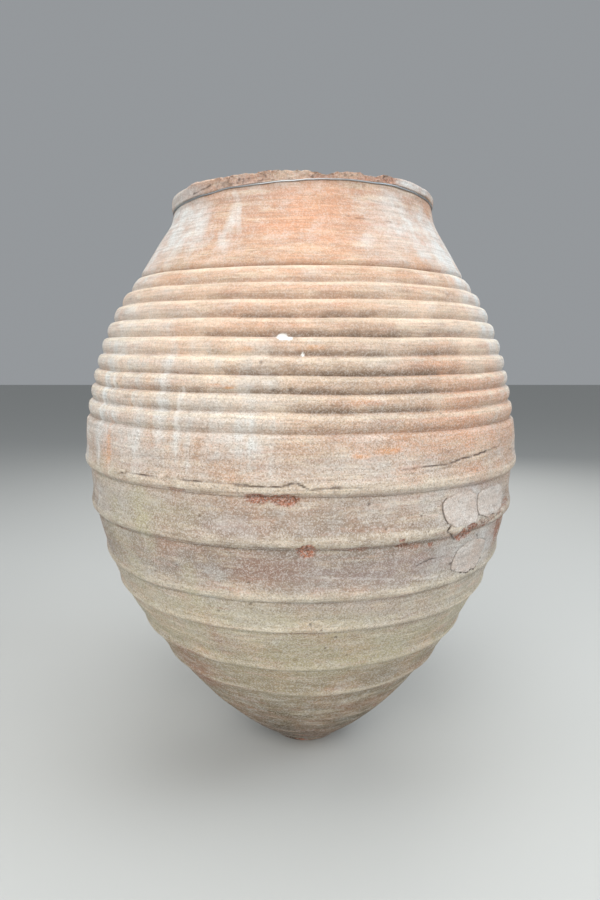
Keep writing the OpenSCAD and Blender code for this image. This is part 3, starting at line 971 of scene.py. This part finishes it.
# Fine marks: channel, width, strength, places in order
marks = [
    ("lime", 1.5, 0.4, [(-4.9, 474), (8, 464), (20, 456), (35.1, 445)]),
    ("lime", 1.8, 0.17, [(19.4, 438), (20.6, 470), (21.7, 506)]),
    ("lime", 1.6, 0.14, [(11, 430), (15, 462), (17, 492)]),
    ("lime", 1.6, 0.14, [(3, 440), (7, 470), (8, 497)]),
    ("bloom", 7, 0.5, [(-26.5, 1073), (-23.4, 1050), (-23.0, 1030), (-20.7, 999)]),
    ("bloom", 6, 0.5, [(-38.2, 1050), (-39.4, 1030), (-40.6, 1003)]),
    ("lime", 8, 0.4, [(-55, 810), (-54.4, 740), (-55.2, 690), (-54.8, 630)]),
    ("lime", 6, 0.35, [(-49.8, 765), (-50.4, 710), (-49.9, 650)]),
    ("lime", 8, 0.34, [(-31, 800), (-31.6, 740), (-31.2, 672)]),
    ("lime", 5, 0.3, [(-26.4, 765), (-26.9, 700), (-26.5, 655)]),
    ("lime", 6, 0.3, [(148, 800), (148.7, 720), (148.2, 640)]),
    ("lime", 7, 0.3, [(-132, 770), (-131.4, 700), (-131.9, 636)]),
    ("grimeAndShade", 1.6, 0.8, [(-9, 617), (0, 622), (12, 624), (26, 629), (38, 637)]),
    ("grimeAndShade", 1.6, 0.7, [(-30, 975), (-10, 978), (12, 977), (34, 972)]),
    ("grimeAndShade", 1.4, 0.5, [(-38, 990), (-20, 991), (5, 993), (22, 990)]),
    ("grimeAndShade", 1.8, 0.7, [(-34, 962), (-24, 960), (-12, 955)]),
    ("grimeAndShade", 1.6, 0.6, [(-52, 540), (-30, 536), (-12, 539), (10, 541), (24, 538)]),
    ("grimeAndShade", 1.6, 0.6, [(150, 620), (175, 618), (-170, 616), (-140, 620)]),
]


def settledOn(phi, s, rag, fine, channel):
    # How much of a channel lies at each point; rag and fine fray its edges
    total = np.zeros_like(s)
    for place, halfWidth, halfHeight, amount in patina[channel]:
        near = np.abs(s - place[1]) < 1.9 * halfHeight + 10
        if near.any():
            d = blobDistance(phi[near], s[near], place, halfWidth, halfHeight)
            if channel == "lime":
                value = amount * smoothStep(1.0, 0.8, d + 0.36 * fine[near])
            else:
                d = d + 0.45 * rag[near] + 0.12 * fine[near]
                value = amount * smoothStep(1.25, 0.25, d)
            total[near] = 1 - (1 - total[near]) * (1 - np.clip(value, 0, 1))
    for name, width, amount, path in marks:
        heights = [p[1] for p in path]
        near = (s > min(heights) - 8) & (s < max(heights) + 8)
        if name == channel and near.any():
            d = strokeDistance(phi[near], s[near], path) + 1.4 * fine[near]
            value = amount * smoothStep(width, 0.3 * width, d) * smoothStep(-0.5, 0.3, rag[near])
            total[near] = np.maximum(total[near], value)
    return total


def storeChannels(mesh, live, phi, s, points, channels):
    # Stores what shows at the live points, with what has settled there; elsewhere nothing does
    rag, fine = softNoise(points, 0.045, 21), softNoise(points, 0.008, 22)
    for channel in patina:
        channels[channel] = settledOn(phi, s, rag, fine, channel)
    for channel, values in channels.items():
        whole = np.zeros(len(mesh.vertices))
        whole[live] = values
        setAttribute(mesh, channel, whole)
    mesh.update()


# The mortar fills and the pockets they sit in
patches = {
    "mortar_patch_front": {
        "low": 530, "high": 586, "corner": 9, "gap": (3.0, 0.2, 1.0, 0.2),
        "left": [(530, 34.8), (545, 33.4), (560, 32.7), (570, 32.4), (580, 33.6), (590, 35.2)],
        "right": [(535, 45.2), (550, 44.5), (572, 44.1), (588, 43.6)],
    },
    "mortar_patch_side": {
        "low": 534, "high": 584, "corner": 7, "gap": (2.6, 0.2, 1.5, 0.2),
        "left": [(535, 45.9), (550, 45.1), (572, 44.7), (585, 45.2)],
        "right": [(535, 58.5), (560, 60.2), (585, 57.6)],
    },
    "mortar_patch_low": {
        "low": 438, "high": 494, "corner": 12, "gap": (3.0, 0.2, 2.0, 0.3),
        "left": [(438, 41.2), (451, 38.6), (470, 38.9), (486, 40.0), (494, 41.6)],
        "right": [(438, 51.5), (465, 54.0), (480, 53.2), (494, 49.8)],
    },
    "names": ("mortar_patch_front", "mortar_patch_side", "mortar_patch_low"),
    "depth": 6,
    "pocketDepth": 4.6,
    "proud": 0.8,
    "thinEdge": 0.15,          # how proud a fill still is at its very edge
    "firstAngle": 25,          # the fills all lie between these two
    "lastAngle": 70,
    "columns": 110,
    "rows": 64,
}


def patchBounds(patch, s, share):
    # Left and right edge at a height, and the curved low and high edges across its width
    left = np.interp(s, *zip(*patch["left"]))
    right = np.interp(s, *zip(*patch["right"]))
    bow = patch["corner"] * np.abs(2 * np.clip(share, 0, 1) - 1) ** 4
    wave = 1.3 * np.sin(17 * share + patch["low"])
    return left, right, patch["low"] + bow + wave, patch["high"] - bow + wave


def cutPockets(phi, s, points):
    # Signed distance in mm inside each patch's outline, as a pocket's depth and a dark edge
    loss, dark = np.zeros_like(s), np.zeros_like(s)
    rag = softNoise(points, 0.010, 31)
    around = (phi > patches["firstAngle"]) & (phi < patches["lastAngle"])
    for patch in map(patches.get, patches["names"]):
        near = around & (s > patch["low"] - 12) & (s < patch["high"] + 12)
        if not near.any():
            continue
        a, h = phi[near], s[near]
        width = math.radians(1) * outlineRadius(h)
        left, right, _, _ = patchBounds(patch, h, 0.5)
        share = (a - left) / (right - left)
        _, _, low, high = patchBounds(patch, h, share)
        sides = [(a - left) * width, (right - a) * width, h - low, high - h]
        inside = np.minimum.reduce(sides)
        nearest = np.argmin(np.stack(sides), axis=0)
        gap = np.array(patch["gap"])[nearest] * (1 + 0.5 * rag[near])
        start = 1.2 - 1.3 * gap
        loss[near] = np.maximum(
            loss[near], patches["pocketDepth"] * smoothStep(start, start + 1.6, inside)
        )
        edge = smoothStep(0.75 * gap, 0.3 * gap, np.abs(inside + 0.5 * gap))
        dark[near] = np.maximum(dark[near], edge * np.clip(0.62 * gap - 0.2, 0, 1))
    return loss, np.clip(dark, 0, 1)


# The clay rings
ridges = {
    # Lower edge's share of the height, how proud, how tall, and how rounded from 0 to 1
    "course_1": (0.191, 4.2, 28, 0.0),
    "course_2": (0.253, 4.4, 27, 0.0),
    "course_3": (0.330, 4.4, 23, 0.1),
    "course_4": (0.382, 5.4, 36, 0.3),
    "course_5": (0.464, 7.0, 46, 0.85),
    "course_6": (0.539, 7.0, 46, 1.0),
}
undercut = {"depth": 1.6, "height": 12}
ringOrder = [
    "foot_course", "course_1", "course_2", "course_3", "course_4", "course_5", "course_6",
    "shoulder_lower", "shoulder_upper", "neck",
]
ribSplit = clay["ribStart"] + 5 * clay["ribPitch"]
ribsEnd = clay["ribStart"] + clay["ribCount"] * clay["ribPitch"]
ringEdges = [12] + [ridges[name][0] * jar["height"] for name in ringOrder[1:7]]
ringEdges += [clay["ribStart"], ribSplit, ribsEnd, uneven["lipBase"]]
footLine = [(70, 9), (62, 9), (57, 20), (50, 36)]
rimLine = [(248, 1083), (240, 1083), (239, 1090), (232, 1090), (231, 1077), (222, 1073)]


def lapRows(edge):
    t, lap = wallThickness(edge), jar["lap"]
    return np.concatenate([
        wallRows(edge + 1, 0.42 * t), wallRows(edge + 0.7 * lap, 0.5 * t), wallRows(edge + lap, t),
    ])


def outerHeights(low, high, step):
    # Close together just over a lower edge, where the ridge turns, and then evenly spaced
    near = low + np.array([0, 0.5, 1.1, 1.9, 2.9, 4.1, 5.5, 7.1])
    count = max(2, int(np.ceil((high - low - 8.9) / step)))
    return np.concatenate([near, np.linspace(low + 8.9, high - 1.2, count), [high - 0.4, high]])


def ringSection(name, rowLimit):
    index = ringOrder.index(name)
    low, high = ringEdges[index], ringEdges[index + 1]
    lap = jar["lap"]
    innerLow = jar["innerFloor"] if name == "foot_course" else low + lap
    innerHigh = jar["innerTop"] if name == "neck" else high + lap
    count = max(3, int((innerHigh - innerLow) / jar["innerStep"]))
    innerHeights = np.linspace(innerHigh, innerLow, count + 1)[1:-1]
    inner = wallRows(innerHeights, wallThickness(innerHeights), inner=1)
    slant = (high - low) * math.hypot(1, (outlineRadius(high - 1) - outlineRadius(low + 1))
                                      / (high - low))
    step = max(jar["rowStep"], slant / (rowLimit - count - jar["jointRows"])) * (high - low) / slant
    # A ridge hides the end of the course below it; elsewhere two courses meet in a groove
    underRidge = name != "neck" and ringOrder[index + 1] in ridges
    outer = wallRows(outerHeights(low, high + underRidge, step), outer=1)
    hidden = jar["hiddenStep"]
    top = lineRows(rimLine, hidden)[1:] if name == "neck" else lapRows(high)
    bottom = (lineRows(footLine, hidden) if name == "foot_course" else lapRows(low))[::-1]
    if name in ridges:
        bottom = np.concatenate([bottom, wallRows(low + 1, 0.0)])
    return np.concatenate([outer, top, inner, bottom])


def liveRows(section, phi):
    # Which points of a turned mesh are on its outer face, and their angles and section rows
    columns = len(phi)
    rows = np.repeat(section, columns, axis=0)
    live = np.flatnonzero(rows[:, 5] > 0)
    return live, np.tile(phi, len(section))[live], rows[live]


def applyDamage(mesh, section, phi):
    # Moves the outer face in where clay is lost, and stores what shows there
    points = meshPoints(mesh)
    live, angle, rows = liveRows(section, phi)
    s, place = rows[:, 4], points[live]
    loss, chip, crack = cutDamage(angle, s, place)
    pocket, dark = cutPockets(angle, s, place)
    depth = np.maximum(loss, pocket) * mm
    points[live] -= outwardNormals(angle, rows[:, 2], rows[:, 3]) * depth[:, None]
    movePoints(mesh, points)
    channels = {"chip": chip, "crack": np.maximum(crack, dark)}
    storeChannels(mesh, live, angle, s, place, channels)


plainRidge = (-1.0, 0.0, 20, 0.0)      # a piece with no ridge
farBelow = -100                        # the next edge, for a piece with no ridge above it


def throwingInputs(ridge=plainRidge, edgeBelow=farBelow):
    lowerEdge, proud, tall, roundness = ridge
    lengths = {
        "Ridge Edge": lowerEdge * jar["height"], "Ridge Height": proud, "Ridge Length": tall,
        "Rib Start": clay["ribStart"], "Rib Pitch": clay["ribPitch"],
        "Groove Depth": clay["grooveDepth"], "Groove Fade": clay["grooveFade"],
        "Undercut Edge": edgeBelow, "Undercut Depth": undercut["depth"],
        "Undercut Height": undercut["height"], "Swell": clay["swell"],
        "Wheel Mark": clay["wheelMark"], "Grit": clay["grit"],
        "Inner Ring": clay["innerRing"], "Inner Pitch": clay["innerPitch"],
    }
    return {
        **{key: value * mm for key, value in lengths.items()}, "Ridge Roundness": roundness,
        "Ridge Uneven": clay["ridgeUneven"], "Rib Count": float(clay["ribCount"]),
        "Material": terracottaFinish,
    }


def makeClayRing(name):
    columns = jar["footColumns"] if name == "foot_course" else jar["columns"]
    section = ringSection(name, jar["faceLimit"] // columns)
    phi = columnAngles(columns)
    piece = newPiece(name + "_clay", turnedMesh(name, section, phi))
    index = ringOrder.index(name)
    ridgeAbove = name != "neck" and ringOrder[index + 1] in ridges
    edgeBelow = ringEdges[index + 1] if ridgeAbove else farBelow
    applyTree(piece, throwingTree, throwingInputs(ridges.get(name, plainRidge), edgeBelow))
    applyDamage(piece.data, section, phi)
    finishPiece(piece, name)
    return piece


for ringName in ringOrder:
    ring = makeClayRing(ringName)
    print(ringName, "made:", len(ring.data.polygons) * 2, "triangles")


# The foot's disc
foot = {
    "edgeRound": 4, "floorHeight": 36, "columns": 320, "step": 4, "edgeStep": 1.6, "swell": 0.3,
    "hole": 3,                 # the section stops this far from the axis, and a fan closes it
}


def makeFootDisc():
    r, rounding, hole = jar["footRadius"], foot["edgeRound"], foot["hole"]
    edge = arcPoints((r - rounding, rounding), rounding, -90, 0, 5)
    section = np.concatenate([
        lineRows([(hole, 0), (r - rounding, 0)], foot["step"])[:-1],
        lineRows(np.concatenate([edge, footLine[:1]]), foot["edgeStep"], outer=1),
        lineRows(footLine, foot["step"])[1:-1],
        lineRows([footLine[-1], (hole, foot["floorHeight"])], foot["step"]),
    ])
    phi = columnAngles(foot["columns"])
    piece = newPiece("base_disc_clay", turnedMesh("base_disc", section, phi, capped=True))
    applyTree(piece, throwingTree, {**throwingInputs(), "Swell": foot["swell"] * mm})
    applyDamage(piece.data, section, phi)
    points = meshPoints(piece.data)
    points[:, 2] = np.maximum(points[:, 2], 0)
    movePoints(piece.data, points)
    finishPiece(piece, "base_disc")


makeFootDisc()
print("foot disc made")


# The lip, whose outer roll has broken away along the front
lip = {
    "outerRadius": 252.5, "mouthRadius": 222, "underRound": 5, "outerRound": 9,
    "innerRound": 7, "seatDrop": 9, "step": 1.35,
    # Angle, and how much of the outer roll is gone there, in mm
    "lost": [
        (-75, 0.3), (-60, 0.6), (-48, 1.5), (-40, 1.2), (-30, 2.5), (-22, 4.2), (-12, 5.2),
        (-4, 6.2), (2, 5.8), (9, 7.5), (14, 6.6), (20, 6.2), (27, 7.0), (33, 4.2), (40, 1.4),
        (47, 0.6), (62, 0.4), (80, 0.3), (112, 0.4), (122, 4.5), (131, 5.0), (138, 0.6),
        (170, 0.5), (176, 3.0), (186, 3.4), (192, 0.5), (232, 0.4), (240, 2.6), (248, 0.6),
    ],
    "rough": 2.5,
    "marks": {"Swell": 0.8, "Wheel Mark": 0.4, "Grit": 0.9},
    "cracks": [
        [(-48.5, 1088), (-46, 1089), (-43, 1091), (-40.5, 1091.5), (-38, 1094.5)],
        [(121, 1090), (117, 1093), (111, 1094)],
        [(34, 1103), (33, 1096), (35, 1090)],
    ],
    # How red the broken clay is: elsewhere it is old and has weathered back
    "red": [(-40, 0.1), (-15, 0.3), (5, 0.35), (20, 0.4), (30, 0.85), (40, 0.8), (47, 0.1), (125, 0.6),
            (150, 0.1), (181, 0.5), (205, 0.1), (244, 0.5), (290, 0.1)],
}


def makeLip():
    base, top = uneven["lipBase"], jar["height"]
    outer, mouth = lip["outerRadius"], lip["mouthRadius"]
    under, over, inside = lip["underRound"], lip["outerRound"], lip["innerRound"]
    shown = np.concatenate([
        rimLine[:1],
        arcPoints((outer - under, base + under), under, -90, 0, 3),
        arcPoints((outer - over, top - over), over, 0, 90, 8),
        arcPoints((mouth + inside, top - inside), inside, 90, 180, 6),
        [(mouth, base - lip["seatDrop"])],
    ])
    section = np.concatenate([
        lineRows(shown, lip["step"], outer=1),
        lineRows(rimLine[::-1], jar["hiddenStep"])[:-1],
    ])
    phi = columnAngles(jar["columns"])
    piece = newPiece("rim_clay", turnedMesh("rim", section, phi))
    lipMarks = {key: value * mm for key, value in lip["marks"].items()}
    applyTree(piece, throwingTree, {**throwingInputs(), **lipMarks})
    breakLip(piece.data, section, phi)
    finishPiece(piece, "rim")


def breakLip(mesh, section, phi):
    points = meshPoints(mesh)
    live, angle, rows = liveRows(section, phi)
    r, z, place = rows[:, 0], rows[:, 1], points[live]
    base, top = uneven["lipBase"], jar["height"]
    lumps = softNoise(place, 0.016, 41, 3)
    crumbs = softNoise(place, 0.0055, 42, 2)
    lost = aroundCurve(angle, lip["lost"])
    # The roll is cut back to a rough, nearly upright face
    face = smoothStep(lip["mouthRadius"] + 4, lip["outerRadius"] - 8, r)
    face = face * smoothStep(base - 0.5, base + 3, z)
    limit = lip["outerRadius"] - lost * (1 + 0.35 * lumps)
    cut = np.maximum(r - limit, 0) * face
    broken = smoothStep(0.6, 2.6, lost * (1 + 0.5 * lumps)) * face
    rough = (lumps * 0.9 + crumbs * 0.7) * lip["rough"] * (0.3 + 0.7 * broken)
    chipped = smoothStep(0.32, 0.6, softNoise(place, 0.022, 43, 2)) * (1 - broken)
    cut = cut + chipped * 1.8 * smoothStep(base + 6, base + 14, z)
    points[live] -= outwardNormals(angle, 1, 0) * ((cut + 0.6 * rough * face) * mm)[:, None]
    points[live, 2] -= (rough + 0.8 * chipped) * smoothStep(base + 8, top, z) * mm
    movePoints(mesh, points)
    crack = np.zeros_like(z)
    for path in lip["cracks"]:
        d = strokeDistance(angle, z, path) + 0.9 * crumbs + 1.2 * lumps
        crack = np.maximum(crack, 0.75 * smoothStep(1.9, 0.2, np.abs(d)) * face)
    tone = smoothStep(-0.5, 0.6, crumbs + 0.6 * lumps)
    # Its top edge is painted pale: wear, and painted highlight where the light falls from above
    wearAndHighlight = smoothStep(top - 7, top - 1.5, z) * (0.6 + 0.4 * tone)
    # Crevices in the broken face hold dirt, and its high points are rubbed pale
    crack = np.maximum(crack, 0.6 * smoothStep(0.15, 0.6, -crumbs - 0.5 * lumps) * broken)
    wearAndHighlight = np.maximum(wearAndHighlight, smoothStep(0.1, 0.5, crumbs + 0.5 * lumps) * broken)
    chip = broken * aroundCurve(angle, lip["red"]) * (0.35 + 0.65 * tone)
    channels = {"chip": chip, "crack": crack, "crest": wearAndHighlight}
    storeChannels(mesh, live, angle, z, place, channels)


makeLip()
print("lip made")


def makePatch(name):
    # A fill is a curved slab: a face of its own over the pocket, a back and a thin wall round it
    patch = patches[name]
    us, vs = np.linspace(0, 1, patches["columns"]), np.linspace(0, 1, patches["rows"])
    u, v = np.meshgrid(us, vs)
    # Squeezed towards the edges, so that their rounding has enough points
    u, v = u - 0.12 * np.sin(2 * np.pi * u) / 2, v - 0.12 * np.sin(2 * np.pi * v) / 2
    _, _, low, high = patchBounds(patch, np.full_like(u, patch["low"]), u)
    s = low + (high - low) * v
    left, right, _, _ = patchBounds(patch, s, u)
    phi = left + (right - left) * u
    width = math.radians(1) * outlineRadius(s) * (right - left)
    rim = np.minimum.reduce([u * width, (1 - u) * width, v * (high - low), (1 - v) * (high - low)])
    slope = outlineSlope(s)
    n = 1 / np.sqrt(1 + slope * slope)
    swell = patches["thinEdge"] + (patches["proud"] - patches["thinEdge"]) * smoothStep(0, 5, rim)
    layers = [
        unevenPlace(phi, outlineRadius(s) - depth * n, s + depth * n * slope).reshape(-1, 3)
        for depth in (-swell, patches["depth"])
    ]
    rows, columns = u.shape
    size = rows * columns
    index = np.arange(size).reshape(rows, columns)
    front = np.stack([index[:-1, :-1], index[:-1, 1:], index[1:, 1:], index[1:, :-1]], axis=-1)
    back = front[..., ::-1] + size
    border = np.concatenate([index[0, :-1], index[:-1, -1], index[-1, :0:-1], index[:0:-1, 0]])
    ahead = np.roll(border, -1)
    walls = np.stack([border, border + size, ahead + size, ahead], axis=1)
    faces = np.concatenate([front.reshape(-1, 4), back.reshape(-1, 4), walls])
    mesh = bpy.data.meshes.new(name)
    mesh.from_pydata(np.concatenate(layers).tolist(), [], faces.tolist())
    normal = outwardNormals(phi, n, -slope * n).reshape(-1, 3)
    on = np.concatenate([np.ones(size), np.zeros(size)])
    setAttribute(mesh, "outward", np.concatenate([normal, normal]), "FLOAT_VECTOR")
    setAttribute(mesh, "height", np.concatenate([s.ravel(), s.ravel()]) * mm)
    setAttribute(mesh, "outer", on)
    setAttribute(mesh, "inner", 0 * on)
    piece = newPiece(name + "_mortar", mesh)
    ring = "course_4" if name == "mortar_patch_low" else "course_5"
    changes = {"Material": mortarFinish, "Wheel Mark": 0.35 * mm}
    applyTree(piece, throwingTree, {**throwingInputs(ridges[ring]), **changes})
    points = meshPoints(piece.data)
    face = points[:size]
    trowel = softNoise(face, 0.02, 51) + 0.4 * softNoise(face, 0.006, 52)
    face += normal * (0.45 * trowel * mm)[:, None]
    movePoints(piece.data, points)
    edge = smoothStep(3.0, 0.4, rim.ravel() + 1.2 * softNoise(face, 0.012, 53))
    setAttribute(piece.data, "edge", np.concatenate([edge, np.ones(size)]))
    finishPiece(piece, name)


for patchName in patches["names"]:
    makePatch(patchName)
print("mortar fills made")


# The wire round the neck, its two ends twisted together at the back
wire = {
    "diameter": 2.4, "gap": 0.4, "below": 1.5, "tailLength": 33, "tailLean": 17,
    "twistRadius": 1.55, "twistTurns": 3.2, "sides": 12, "points": 360,
}


def makeWireTree():
    tree, given = newTree("bent wire", {"Diameter": "Float", "Sides": "Int"})
    path = valueOf(tree, "GeometryNodeMeshToCurve", None, {0: given["Geometry"]})
    half = valueOf(
        tree, "ShaderNodeMath", {"operation": "MULTIPLY"}, {0: given["Diameter"], 1: 0.5}
    )
    ring = valueOf(
        tree, "GeometryNodeCurvePrimitiveCircle", None,
        {"Resolution": given["Sides"], "Radius": half},
    )
    solid = valueOf(
        tree, "GeometryNodeCurveToMesh", None,
        {"Curve": path, "Profile Curve": ring, "Fill Caps": True},
    )
    return closeTree(tree, given, solid)


def wirePath():
    z = uneven["lipBase"] - wire["below"]
    r = float(outlineRadius(np.array(z))) + wire["diameter"] / 2 + wire["gap"]
    phi = np.linspace(-178.9, 178.9, wire["points"])
    # It sags and kinks a little between the places where it is tight
    kink = 0.5 * np.sin(np.radians(phi) * 9 + 1) + 0.3 * np.sin(np.radians(phi) * 23)
    ring = unevenPlace(phi, r + 0.25 * np.abs(kink), z + kink)
    t = np.linspace(0, 1, 46)[1:]
    middle = unevenPlace(np.array(180.0), r + 1.2, np.array(z))
    lean = math.radians(wire["tailLean"])
    along = np.array([0, math.sin(lean), -math.cos(lean)])
    side, across = np.array([1.0, 0, 0]), np.cross(along, [1.0, 0, 0])
    tails = []
    for start, length in ((0.0, 1.0), (math.pi, 0.86)):
        turn = start + 2 * math.pi * wire["twistTurns"] * t * length
        twist = np.cos(turn)[:, None] * side + np.sin(turn)[:, None] * across
        steps = (wire["tailLength"] * t * length)[:, None] * along
        tails.append(middle + (steps + wire["twistRadius"] * twist) * mm)
    return np.concatenate([tails[0][::-1], ring[::-1], tails[1]])


def makeWire():
    path = wirePath()
    edges = [(k, k + 1) for k in range(len(path) - 1)]
    mesh = bpy.data.meshes.new("binding_wire")
    mesh.from_pydata(path.tolist(), edges, [])
    piece = newPiece("binding_wire_twisted", mesh)
    applyTree(piece, makeWireTree(), {
        "Diameter": wire["diameter"] * mm, "Sides": wire["sides"], "Material": wireFinish,
    })
    finishPiece(piece, "binding_wire")


makeWire()
print("wire made")


# Floor, light and camera
studio = {
    "floor": "#bfc0bd", "air": "#e6ebf0", "airStrength": 0.38, "floorSize": 30,
    # name, then place, aim height and size in metres, watts, colour
    "lamps": [
        ("front softbox", (-0.5, -3.0, 2.1), 0.55, 2.2, 88, "#fffdfa"),
        ("left softbox", (-2.6, -0.5, 2.3), 0.9, 1.6, 17, "#e0ebf7"),
        ("right softbox", (2.6, -0.6, 2.3), 0.9, 1.6, 46, "#e4eef8"),
        ("overhead softbox", (0.0, -0.5, 3.4), 0.5, 2.0, 40, "#ffffff"),
        ("back softbox", (0.6, 2.9, 2.2), 0.6, 2.2, 40, "#fffdfa"),
    ],
}


def makeStudio():
    bpy.ops.mesh.primitive_plane_add(size=studio["floorSize"])
    floor = bpy.context.object
    floor.name = "studio_floor"
    material = bpy.data.materials.new("matt floor paint")
    material.use_nodes = True
    shader = material.node_tree.nodes["Principled BSDF"]
    shader.inputs["Base Color"].default_value = hexColour(studio["floor"])
    shader.inputs["Roughness"].default_value = 0.85
    floor.data.materials.append(material)
    world = bpy.data.worlds.new("studio air")
    world.use_nodes = True
    background = world.node_tree.nodes["Background"]
    background.inputs["Color"].default_value = hexColour(studio["air"])
    background.inputs["Strength"].default_value = studio["airStrength"]
    bpy.context.scene.world = world
    for name, place, aim, size, watts, colour in studio["lamps"]:
        lamp = bpy.data.lights.new(name, "AREA")
        lamp.size = size
        lamp.energy = watts
        lamp.color = hexColour(colour)[:3]
        holder = bpy.data.objects.new(name, lamp)
        bpy.context.scene.collection.objects.link(holder)
        holder.location = place
        toward = Vector((0, 0, aim)) - Vector(place)
        holder.rotation_euler = toward.to_track_quat("-Z", "Y").to_euler()


# Place in metres, pitch in degrees, lens and sensor in mm
camera = {"place": (-0.004, -1.403, 0.811), "pitch": 81.73, "lens": 27.36, "sensor": 36}


def makeCamera():
    data = bpy.data.cameras.new("camera")
    data.lens = camera["lens"]
    data.sensor_width = camera["sensor"]
    holder = bpy.data.objects.new("camera", data)
    bpy.context.scene.collection.objects.link(holder)
    holder.location = camera["place"]
    holder.rotation_euler = (math.radians(camera["pitch"]), 0, 0)
    bpy.context.scene.camera = holder


makeStudio()
makeCamera()
bpy.context.scene.view_settings.view_transform = "Standard"
print("studio made")
